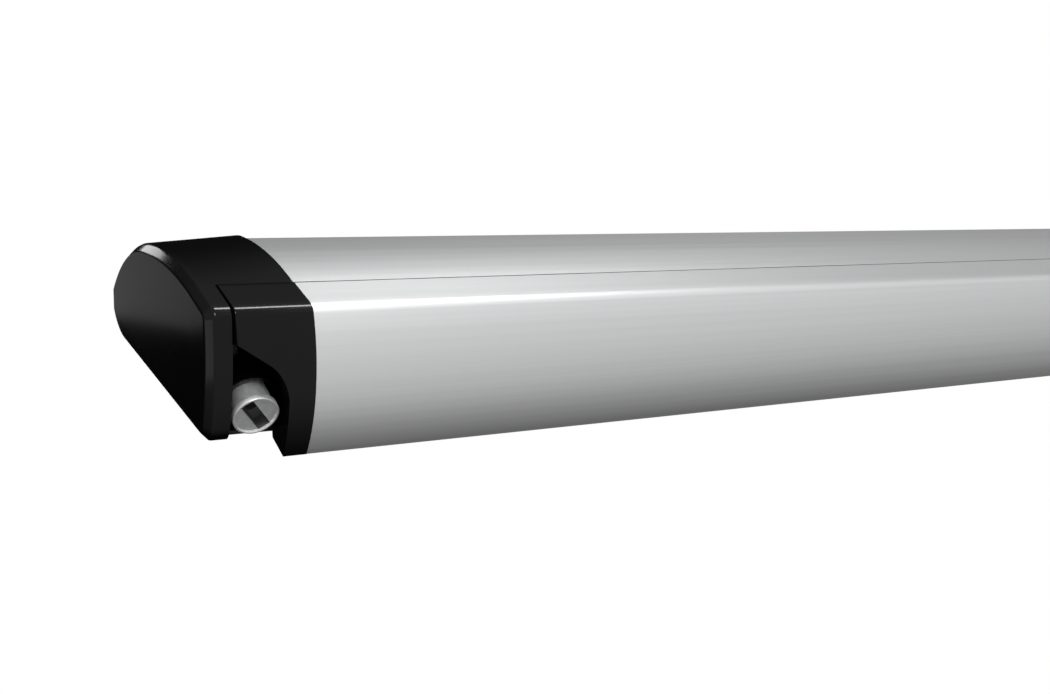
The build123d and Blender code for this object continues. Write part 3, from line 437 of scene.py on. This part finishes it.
seam_gap = 0.0008
rail_proud = 0.0008
rail_edge = 0.0024
top_steps, corner_steps, bow_steps, tail_steps, heel_steps = 8, 12, 40, 30, 6


def axis_of(node):
    """Where a round CAD node that lies along the awning has its middle, as Y and Z."""
    low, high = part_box(node)
    return np.array([(low.y + high.y) / 2, (low.z + high.z) / 2])


def for_side(points, side):
    """Points of the left end, mirrored for the right."""
    if side == "right":
        points[..., 0] *= -1
    return points


def place(share, lift=0):
    """A point of the section, as Y and Z, from its shares."""
    return np.array([-share[0] * section_depth, share[1] * section_height + lift])


def line(start, end, count):
    """Points evenly from start towards end, which is left out."""
    return start + np.linspace(0, 1, count, endpoint=False)[:, None] * (end - start)


def centre_of(start, middle, end):
    """The centre of the circle through three points, from the two chords that start at the first."""
    sides = np.array([middle - start, end - start])
    squares = np.array([middle @ middle - start @ start, end @ end - start @ start]) / 2
    return np.linalg.solve(sides, squares)


def arc(start, middle, end, count, first=0, last=1):
    """Points of the circle through three points, from one share of the way to another, which is left out."""
    centre = centre_of(start, middle, end)
    angles = np.unwrap([math.atan2(*(point - centre)[::-1]) for point in (start, middle, end)])
    turn = angles[0] + (angles[2] - angles[0]) * np.linspace(first, last, count, endpoint=False)
    radius = np.linalg.norm(start - centre)
    return centre + radius * np.stack([np.cos(turn), np.sin(turn)], axis=1)


def bend(start, corner, end, count):
    """A rounded corner: the quadratic curve from start to end that leans on the corner."""
    t = np.linspace(0, 1, count, endpoint=False)[:, None]
    return (1 - t) ** 2 * start + 2 * t * (1 - t) * corner + t**2 * end


def toward(start, end, reach):
    """The point so far from start on the way to end."""
    return start + reach * (end - start) / np.linalg.norm(end - start)


def inset(outline, depth):
    """A closed outline moved inwards by depth, each point along its own normal, lengthened at corners."""
    before = outline - np.roll(outline, 1, axis=0)
    after = np.roll(outline, -1, axis=0) - outline
    before /= np.linalg.norm(before, axis=1)[:, None]
    after /= np.linalg.norm(after, axis=1)[:, None]
    normal = np.stack([-(before + after)[:, 1], (before + after)[:, 0]], axis=1)
    normal /= np.linalg.norm(normal, axis=1)[:, None]
    along = np.stack([-after[:, 1], after[:, 0]], axis=1)
    area = np.sum(outline[:, 0] * np.roll(outline[:, 1], -1) - np.roll(outline[:, 0], -1) * outline[:, 1])
    spread = np.clip(np.sum(normal * along, axis=1), 0.5, 1)
    return outline + math.copysign(depth, area) * normal / spread[:, None]


def cap_outline(lift, ear):
    """The end cap's outline, from the lip over the back to the floor, as Y and Z. Then either the ear, whose
    front is one circle between two rounded corners, or the same count of points straight up to the lip."""
    lip, floor_front, floor_back = place(lip_share), place(floor_front_share), place(floor_back_share)
    land_top, land_bottom = place(land_share), -place(land_share)
    back = [
        arc(lip, place(crown_share, lift / 2), place(crest_share, lift), 28),
        arc(place(crest_share, lift), place(back_share, lift / 2), land_top, 32),
        line(land_top, land_bottom, 4),
        arc(land_bottom, place(nose_share), floor_back, 16),
        line(floor_back, floor_front, 16),
    ]
    if not ear:
        return np.concatenate(back + [line(floor_front, lip, 60)])
    bottom_y = -ear_bottom_share * section_depth
    slope = (floor_back[1] - floor_front[1]) / (floor_back[0] - floor_front[0])
    bottom = np.array([bottom_y, floor_front[1] + (bottom_y - floor_front[0]) * slope])
    bow, corner = place(ear_bow_share), place(ear_corner_share)
    front = arc(bottom, bow, corner, 30, 0.11, 0.93)
    front_end = arc(bottom, bow, corner, 2, 0.93, 1)[0]
    near_bottom, near_corner = toward(bottom, floor_front, 0.0075), toward(corner, lip, 0.006)
    return np.concatenate(
        back
        + [
            line(floor_front, near_bottom, 8),
            bend(near_bottom, bottom, front[0], 9),
            front,
            bend(front_end, corner, near_corner, 9),
            line(near_corner, lip, 4),
        ]
    )


def rail_outline(proud, edge=0.0):
    """The front rail's outline, as Y and Z, from its back top corner: a straight top, a rounded corner, the
    bow, a tail, and the back. The tail is the circle that leaves the bow in its own direction and ends at the
    toe. All but the back is moved out by proud. The back top corner is rounded over the edge's length."""
    lip, corner_place = place(lip_share), place(rail_corner_share)
    back_y = lip[0] - seam_gap
    slope = (lip[1] - corner_place[1]) / (lip[0] - corner_place[0])
    back_top = np.array([back_y, lip[1] + slope * (back_y - lip[0]) + proud])
    corner = corner_place + np.array([-proud, proud])
    bow = place(rail_bow_share) - np.array([proud, 0])
    waist = place(rail_waist_share) - np.array([proud, 0])
    toe = place(rail_toe_share) - np.array([proud, 0])
    heel = np.array([back_y, place(rail_heel_share)[1]])
    upper = arc(corner, bow, waist, bow_steps, 0.07, 1)
    heading = waist - upper[-1]
    heading /= np.linalg.norm(heading)
    chord = toe - waist
    length = np.linalg.norm(chord)
    across = heading - (heading @ chord) / length**2 * chord
    half_turn = math.acos(np.clip(heading @ chord / length, -1, 1)) / 2
    middle = (waist + toe) / 2 + length / 2 * math.tan(half_turn) * across / np.linalg.norm(across)
    top_end = toward(corner, back_top, 0.0055)
    back_corner = back_top[None]
    if edge:
        back_corner = bend(toward(back_top, heel, edge), back_top, toward(back_top, top_end, edge), 6)
    return np.concatenate(
        [
            back_corner,
            line(toward(back_top, top_end, edge), top_end, top_steps)[0 if edge else 1 :],
            bend(top_end, corner, upper[0], corner_steps),
            upper,
            arc(waist, middle, toe, tail_steps),
            line(toe, heel, heel_steps),
            line(heel, toward(back_top, heel, edge), 12),
        ]
    )


def station(outline, x):
    """An outline stood up at x."""
    return np.concatenate([np.full((len(outline), 1), x), outline], axis=1)


# Crank: its axis leaves the mouth of the socket at a slant
crank_mouth = np.array(joint("crank_turn")["pos_m"])
crank_axis = np.array(joint("crank_turn")["axis"])
crank_side = np.array([1.0, 0.0, 0.0])
crank_up = np.cross(crank_axis, crank_side)
collar_bore = 0.0155
collar_clearance = 0.0172
clearance_front = 0.0145
collar_back = 0.045


def crank_ring(radius, reach, count=72):
    """A circle round the crank's axis, so far in from the mouth along it."""
    turn = np.arange(count) * 2 * math.pi / count
    around = np.cos(turn)[:, None] * crank_side + np.sin(turn)[:, None] * crank_up
    return crank_mouth + radius * around + reach * crank_axis


def crank_rings(profile):
    """Circles round the crank's axis, from radius and reach in millimetres."""
    return np.stack([crank_ring(radius / 1000, reach / 1000) for radius, reach in profile])


def crank_tube(radius, front, back):
    """A round cutter's two ends, along the crank's axis."""
    return np.stack([crank_ring(radius, front), crank_ring(radius, back)])


def floor_frame():
    """The front of the end cap's floor, the way back along it, and the way up from it, as Y and Z."""
    front, back = place(floor_front_share), place(floor_back_share)
    slope = (back - front) / np.linalg.norm(back - front)
    return front, slope, np.array([-slope[1], slope[0]])


def screw_seats(side):
    """Round cutters for the screw heads under an end cap's floor, found from the heads: their points lie
    within a head's height of the floor's line, and a gap along it parts one head from the next."""
    head_height, head_gap, spare, steps = 0.0026, 0.002, 0.0002, 40
    front, slope, up = floor_frame()
    mesh = nodes["end_screws"].data
    points = np.empty(len(mesh.vertices) * 3)
    mesh.vertices.foreach_get("co", points)
    points = points.reshape(-1, 3)
    along, rise = (points[:, 1:] - front) @ slope, (points[:, 1:] - front) @ up
    heads = (rise < head_height) & ((points[:, 0] < 0) == (side == "left"))
    order = np.argsort(along[heads])
    places = np.stack([points[heads][:, 0], along[heads], rise[heads]], axis=1)[order]
    groups = np.split(places, np.nonzero(np.diff(places[:, 1]) > head_gap)[0] + 1)
    turn = np.arange(steps) * 2 * math.pi / steps
    seats = []
    for group in groups:
        low, high = group.min(axis=0), group.max(axis=0)
        radius = (high[0] - low[0]) / 2 + spare
        middle = (low + high) / 2
        rings = []
        for height in (-0.002, high[2]):
            reach = front + (middle[1] + radius * np.sin(turn))[:, None] * slope + height * up
            rings.append(np.concatenate([(middle[0] + radius * np.cos(turn))[:, None], reach], axis=1))
        seats.append(cutter_of("screw_seat", np.stack(rings), "black_moulding"))
    return seats


def make_end_cap(side):
    """An end cap, from its hollow round the border to its end: outlines whose top falls evenly on the way
    out, the last of them with the ear, and then the end's outline inset step by step for the chamfer."""
    chamfer_steps = ((5.4, 0.04), (4.7, 0.32), (3.9, 1.1), (1.1, 3.9), (0.32, 4.7), (0.04, 5.4), (0, 6.2))
    hollow_end, ear_front = 0.008, 0.0062
    hollow = inset(cap_outline(-crown_drop, False), cap_wall)
    fall = (crown_lift + crown_drop) / (border - cap_end)
    rings = [station(hollow, cap_end + hollow_end), station(hollow, border)]
    for x in np.linspace(border, ear_inside, 9):
        rings.append(station(cap_outline(crown_lift - fall * (border - x), False), x))
    for x in np.linspace(ear_inside, cap_end + ear_front, 4):
        rings.append(station(cap_outline(crown_lift - fall * (border - x), True), x))
    end = cap_outline(-crown_drop, True)
    for reach, depth in chamfer_steps:
        rings.append(station(inset(end, depth / 1000), cap_end + reach / 1000))
    rings = for_side(np.stack(rings), side)
    piece = closed_piece(f"end_cap_{side}_shell", rings, "case", "black_moulding")
    cutters = screw_seats(side)
    if side == "left":
        bore = crank_tube(collar_bore, -0.02, collar_back)
        cutters.append(cutter_of("socket_bore", bore, "black_moulding"))
    cut_away(piece, cutters)
    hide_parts(f"end_cap_{side}")


def make_socket_collar():
    """A tube round the crank's socket, from a little behind the mouth into the case. Its front is rounded."""
    inside = [(15.5, 45), (15.5, 15.6), (15.7, 15.1)]
    outside = [(16.1, 14.9), (16.6, 15.1), (16.8, 15.6), (16.8, 45), (15.5, 45)]
    rings = crank_rings(inside + outside)
    closed_piece("socket_collar", rings, "case", "black_moulding", filled=False)


def make_floor_lip(side):
    """The short lip that carries an end cap's floor forward, between its ear and the rail's cap."""
    overlap, clear_of_cap = 0.001, 0.0172
    front, slope, up = floor_frame()
    tip, root = front - 0.007 * slope, front + 0.002 * slope
    rise = 0.003 * up
    rounded = [tip + 0.3 * rise, tip + 0.0004 * slope + 0.8 * rise, tip + 0.0012 * slope + rise]
    outline = np.array([root, tip, *rounded, root + rise])
    rings = np.stack([station(outline, x) for x in (ear_inside - overlap, border - clear_of_cap)])
    closed_piece(f"floor_lip_{side}", for_side(rings, side), "case", "black_moulding")


def shade_case_top(piece):
    """Normals for the case's top that point straight out from the centres of its two arcs. They go to the
    corners that lie on an arc, in faces that are between the arc's ends and nearly square to its radius."""
    on_arc, nearly_square = 0.00005, 0.95
    mesh = piece.data
    vertex = np.empty(len(mesh.loops), dtype=np.int32)
    mesh.loops.foreach_get("vertex_index", vertex)
    points = np.empty(len(mesh.vertices) * 3)
    mesh.vertices.foreach_get("co", points)
    normals = np.empty(len(mesh.loops) * 3)
    mesh.corner_normals.foreach_get("vector", normals)
    faces = np.empty(len(mesh.polygons) * 6).reshape(2, -1)
    mesh.polygons.foreach_get("normal", faces[0])
    mesh.polygons.foreach_get("center", faces[1])
    corners = np.empty(len(mesh.polygons), dtype=np.int32)
    mesh.polygons.foreach_get("loop_total", corners)
    points, normals = points.reshape(-1, 3)[vertex, 1:], normals.reshape(-1, 3)
    facing, centres = np.repeat(faces.reshape(2, -1, 3), corners, axis=1)[..., 1:]
    lip, crest, land_top = place(lip_share), place(crest_share), place(land_share)
    for start, middle, end in ((lip, place(crown_share), crest), (crest, place(back_share), land_top)):
        centre = centre_of(start, middle, end)
        away = points - centre
        reach = np.linalg.norm(away, axis=1)
        away /= reach[:, None]
        outer = np.abs(reach - np.linalg.norm(start - centre)) < on_arc
        outer &= (centres[:, 0] > start[0]) & (centres[:, 0] < end[0])
        outer &= np.sum(facing * away, axis=1) > nearly_square
        normals[outer] = np.concatenate([np.zeros((outer.sum(), 1)), away[outer]], axis=1)
    mesh.normals_split_custom_set(normals.tolist())


def make_front_rail():
    """The front rail's section, all along: its outline down to the toe, back up inside the skirt and under
    the web, and up the back, where a round groove behind a narrow mouth holds the canopy's rod."""
    wall, leg_gap, sheet_offset = 0.002, 0.0003, 0.0316
    outer = rail_outline(0)
    inner = inset(outer, wall)
    toe = top_steps + corner_steps + bow_steps + tail_steps
    heel = toe + heel_steps
    back_y = place(lip_share)[0] - seam_gap
    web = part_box("lead_rail_skirt")[1].z
    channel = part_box("leg_tube_left")[0].y - leg_gap
    share = (channel - outer[toe][0]) / (outer[heel][0] - outer[toe][0])
    end = outer[toe] + share * (outer[heel] - outer[toe])
    end_inside = inner[toe] + share * (inner[heel] - inner[toe])
    skirt = inner[toe - 2 * tail_steps : toe + 1][::-1]
    skirt = skirt[skirt[:, 1] < web]
    rod = axis_of("hem_rod")
    span = axis_of("canopy_roll") - rod
    slant = math.atan2(span[1], span[0]) + math.asin(sheet_offset / np.linalg.norm(span))
    out = np.array([math.cos(slant), math.sin(slant)])
    side = np.array([-out[1], out[0]])
    half_mouth, groove = 0.0012, 0.0034
    opening = math.asin(half_mouth / groove)
    turn = np.linspace(slant - opening, slant + opening - 2 * math.pi, 32)
    round_part = rod + groove * np.stack([np.cos(turn), np.sin(turn)], axis=1)
    lower = rod - half_mouth * side
    upper = rod + half_mouth * side
    lower = lower + (back_y - lower[0]) / out[0] * out
    upper = upper + (back_y - upper[0]) / out[0] * out
    corner = np.array([[skirt[-1][0], web], [back_y, web]])
    front = [outer[: toe + 1], [end, end_inside], skirt]
    section = np.concatenate(front + [corner, [lower], round_part, [upper]])
    rings = np.stack([station(section, x) for x in (-border, -border / 2, 0, border / 2, border)])
    piece = closed_piece("front_rail", rings, "lead_rail", "satin_aluminium")
    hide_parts("lead_rail_profile", "lead_rail_skirt")


def make_crank_socket():
    """The socket: a barrel, a rim round a sunk face, and a slanting slot with a bore in its floor."""
    back = [(0.01, 40), (12.5, 40), (12.5, 4.6), (12.9, 4.1), (13.7, 4.0), (14.0, 3.6)]
    front = [(14.0, 0.5), (13.8, 0.1), (13.4, 0.0), (12.9, 0.0), (12.6, 0.25), (12.6, 1), (0.01, 1)]
    half_long, half_wide, slot_front, slot_floor = 0.0116, 0.004, 0.0008, 0.010
    piece = closed_piece("crank_socket_shell", crank_rings(back + front), "crank", "socket_metal")
    turn = math.radians(51.8)
    along = math.cos(turn) * crank_side + math.sin(turn) * crank_up
    across = -math.sin(turn) * crank_side + math.cos(turn) * crank_up
    signs = ((-1, -1), (1, -1), (1, 1), (-1, 1))
    corners = np.array([u * half_long * along + v * half_wide * across for u, v in signs])
    slot = np.stack([crank_mouth + corners + reach * crank_axis for reach in (slot_front, slot_floor)])
    bore = crank_tube(0.0038, 0.005, 0.014)
    cut_away(piece, [cutter_of("slot", slot, "slot_shadow"), cutter_of("socket_bore", bore, "slot_shadow")])
    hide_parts("crank_socket")


def recess_curve():
    """The recess's edge, as X and Z: a slope down to the shelf, an arch round the socket, and a straight
    fall. It closes outside the cap's end."""
    drop, beyond, rounding = section_height, 0.01, 0.008
    start = np.array([rail_cap_end - beyond, -0.132 * drop])
    shelf = np.array([border - 0.029, -0.229 * drop])
    turn = np.array([border - 0.0185, -0.285 * drop])
    neck = np.array([border - 0.0163, -0.400 * drop])
    foot = np.array([border - 0.0135, -drop])
    outside = np.array([rail_cap_end - beyond, -drop])
    level = np.array([rail_cap_end, start[1]])
    return np.concatenate(
        [
            line(start, level, 3),
            bend(level, toward(level, shelf, rounding / 2), toward(level, shelf, rounding), 5),
            line(toward(level, shelf, rounding), shelf, 8),
            bend(shelf, turn, neck, 24),
            line(neck, foot, 12),
            line(foot, outside, 4),
            line(outside, start, 4),
        ]
    )


def make_rail_cap(side):
    """A cap of the front rail: its outline with the edge at the end rounded, and the recess cut through.
    Behind the arch, the left one is hollowed along the crank's axis, clear of the socket's collar."""
    round_end = ((0.8, 0), (0.4, 0.03), (0.16, 0.16), (0.03, 0.4), (0, 0.8))
    outline = rail_outline(rail_proud, rail_edge)
    rings = [station(outline, border)]
    for reach, depth in round_end:
        rings.append(station(inset(outline, depth / 1000), rail_cap_end + reach / 1000))
    edge = recess_curve()
    through = [np.stack([edge[:, 0], np.full(len(edge), y), edge[:, 1]], axis=1) for y in (-0.22, 0.0)]
    rings, through = for_side(np.stack(rings), side), for_side(np.stack(through), side)
    piece = closed_piece(f"rail_cap_{side}_shell", rings, "lead_rail", "black_moulding")
    cutters = [cutter_of("recess", through, "black_moulding")]
    if side == "left":
        clearance = crank_tube(collar_clearance, clearance_front, collar_back)
        cutters.append(cutter_of("collar_clearance", clearance, "black_moulding"))
    cut_away(piece, cutters)
    edges = piece.modifiers.new("edges", "BEVEL")
    edges.width = 0.0005
    edges.segments = 2
    edges.limit_method = "ANGLE"
    edges.angle_limit = math.radians(50)
    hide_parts(f"rail_cap_{side}")


# Canopy
def canopy_finish():
    """Coated cloth on the piece's own map, in metres: u runs along the awning and v along the cloth."""
    weave_scale, stripe_repeat, stripe_edge, weave_share = 160, 0.09, 0.030, 0.25
    material, tree, shader = new_material("canopy_cloth")
    link = tree.links.new
    uv = tree.nodes.new("ShaderNodeUVMap")
    uv.uv_map = "cloth"
    bands = []
    for axis in ("X", "Y"):
        band = tree.nodes.new("ShaderNodeTexWave")
        band.bands_direction = axis
        band.inputs["Scale"].default_value = weave_scale
        link(uv.outputs["UV"], band.inputs["Vector"])
        bands.append(band.outputs["Fac"])
    weave = tree.nodes.new("ShaderNodeMath")
    weave.operation = "MULTIPLY"
    link(bands[0], weave.inputs[0])
    link(bands[1], weave.inputs[1])
    split = tree.nodes.new("ShaderNodeSeparateXYZ")
    link(uv.outputs["UV"], split.inputs["Vector"])
    stripe = tree.nodes.new("ShaderNodeMath")
    stripe.operation = "PINGPONG"
    stripe.inputs[1].default_value = stripe_repeat
    link(split.outputs["X"], stripe.inputs[0])
    ramp = tree.nodes.new("ShaderNodeValToRGB")
    ramp.color_ramp.interpolation = "CONSTANT"
    ramp.color_ramp.elements[0].color = (0.50, 0.51, 0.52, 1)
    ramp.color_ramp.elements[1].position = stripe_edge
    ramp.color_ramp.elements[1].color = (0.30, 0.32, 0.35, 1)
    link(stripe.outputs["Value"], ramp.inputs["Fac"])
    shade = tree.nodes.new("ShaderNodeMix")
    shade.data_type = "RGBA"
    shade.blend_type = "MULTIPLY"
    shade.inputs["Factor"].default_value = weave_share
    link(ramp.outputs["Color"], shade.inputs["A"])
    link(add_tint(tree, weave.outputs["Value"], (0.7, 0.7, 0.7), (1, 1, 1)), shade.inputs["B"])
    link(shade.outputs["Result"], shader.inputs["Base Color"])
    shader.inputs["Roughness"].default_value = 0.62
    shader.inputs["Sheen Weight"].default_value = 0.15
    add_bump(tree, shader, weave.outputs["Value"], 0.0002)
    return material


def make_canopy():
    """One sheet, wound and then straight. Wound: the radius grows evenly with the angle round the roller.
    Straight: from the roll's tangent point to the hem. Its rows are evenly spaced when it is out, with a
    ripple of two sines along the awning that fades to nothing at the roll and the hem."""
    hem_low, hem_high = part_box("hem_rod")
    centre, hem = axis_of("canopy_roll"), axis_of("hem_rod")
    inner, outer, pitch = 0.0253, 0.0312, 0.00045
    hem_gap, cloth_thickness = 0.0032, 0.00036
    steps_a_turn, rows_out, columns = 40, 80, 34
    across = hem - centre
    straight = math.sqrt(across @ across - outer**2)
    last = math.atan2(across[1], across[0]) - math.atan2(straight, outer)
    turns = int((outer - inner) / pitch)
    angle = last - 2 * math.pi * turns + np.arange(turns * steps_a_turn + 1) * 2 * math.pi / steps_a_turn
    radius = outer - (last - angle) / (2 * math.pi) * pitch
    wound = centre + radius[:, None] * np.stack([np.cos(angle), np.sin(angle)], axis=1)
    along = np.array([-math.sin(last), math.cos(last)])
    leave = wound[-1]
    travel = joint("canopy_slide")["range_m"][1]
    start, end = outer + 0.0005, straight - 0.005
    fine = np.linspace(0, straight - hem_gap, 2000)
    share = np.clip((fine - start) / (end - start), 0, 1)
    out = fine + share**2 * (3 - 2 * share) * travel
    spacing = np.interp(np.linspace(0, out[-1], rows_out + 1)[1:], out, fine)
    flat_part = leave + spacing[:, None] * along
    section = np.concatenate([wound, flat_part])
    step = np.linalg.norm(np.diff(wound, axis=0), axis=1)
    wound_length = np.concatenate([[0], np.cumsum(step)])
    cloth_v = np.concatenate([wound_length, wound_length[-1] + np.interp(spacing, fine, out)])
    across_x = np.linspace(hem_low.x, hem_high.x, columns + 1)
    ripple = np.concatenate([np.zeros(len(wound)), np.sin(np.pi * np.linspace(0, 1, rows_out)) ** 2])
    wave = 0.0012 * np.sin(across_x * 9.1) + 0.0008 * np.sin(across_x * 21.7 + 1)
    points = np.zeros((len(section), columns + 1, 3))
    points[..., 0] = across_x
    points[..., 1] = section[:, 0][:, None]
    points[..., 2] = section[:, 1][:, None] + ripple[:, None] * wave
    canopy = grid_piece("canopy", points, (across_x[None, :], cloth_v[:, None]))
    canopy.data.materials.append(canopy_finish())
    thick = canopy.modifiers.new("thickness", "SOLIDIFY")
    thick.thickness = cloth_thickness
    thick.offset = 0
    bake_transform(canopy)
    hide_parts("canopy_roll", "canopy_sheet")


# Floor
def make_floor():
    """A pale floor well under the awning's legs. The camera sees it as white, and not at all from below."""
    reach, level = 6, -2.2
    corners = [(-reach, -reach, level), (reach, -reach, level), (reach, reach, level), (-reach, reach, level)]
    mesh = bpy.data.meshes.new("floor")
    mesh.from_pydata(corners, [], [(0, 1, 2, 3)])
    floor = add_object("floor", mesh)
    material, tree, shader = new_material("floor")
    shader.inputs["Base Color"].default_value = (0.8, 0.8, 0.8, 1)
    shader.inputs["Roughness"].default_value = 0.9
    rays = tree.nodes.new("ShaderNodeLightPath")
    white = tree.nodes.new("ShaderNodeEmission")
    mix = tree.nodes.new("ShaderNodeMixShader")
    tree.links.new(rays.outputs["Is Camera Ray"], mix.inputs["Fac"])
    tree.links.new(shader.outputs["BSDF"], mix.inputs[1])
    tree.links.new(white.outputs["Emission"], mix.inputs[2])
    side_seen = tree.nodes.new("ShaderNodeNewGeometry")
    clear = tree.nodes.new("ShaderNodeBsdfTransparent")
    above = tree.nodes.new("ShaderNodeMixShader")
    tree.links.new(side_seen.outputs["Backfacing"], above.inputs["Fac"])
    tree.links.new(mix.outputs["Shader"], above.inputs[1])
    tree.links.new(clear.outputs["BSDF"], above.inputs[2])
    tree.links.new(above.outputs["Shader"], tree.nodes["Material Output"].inputs["Surface"])
    mesh.materials.append(material)
    floor.visible_glossy = False


make_floor()
make_canopy()
for side in SIDES:
    make_end_cap(side)
    make_rail_cap(side)
    make_floor_lip(side)
make_socket_collar()
make_crank_socket()
make_front_rail()
redrawn = {
    "crank_socket",
    "lead_rail_profile",
    "lead_rail_skirt",
    "canopy_roll",
    "canopy_sheet",
    *(f"end_cap_{side}" for side in SIDES),
    *(f"rail_cap_{side}" for side in SIDES),
}
for entry in frame["record"]["subparts"]:
    if entry["node"] not in redrawn:
        piece = smooth_copy(entry)
        if entry["node"] == "case_profile":
            shade_case_top(piece)
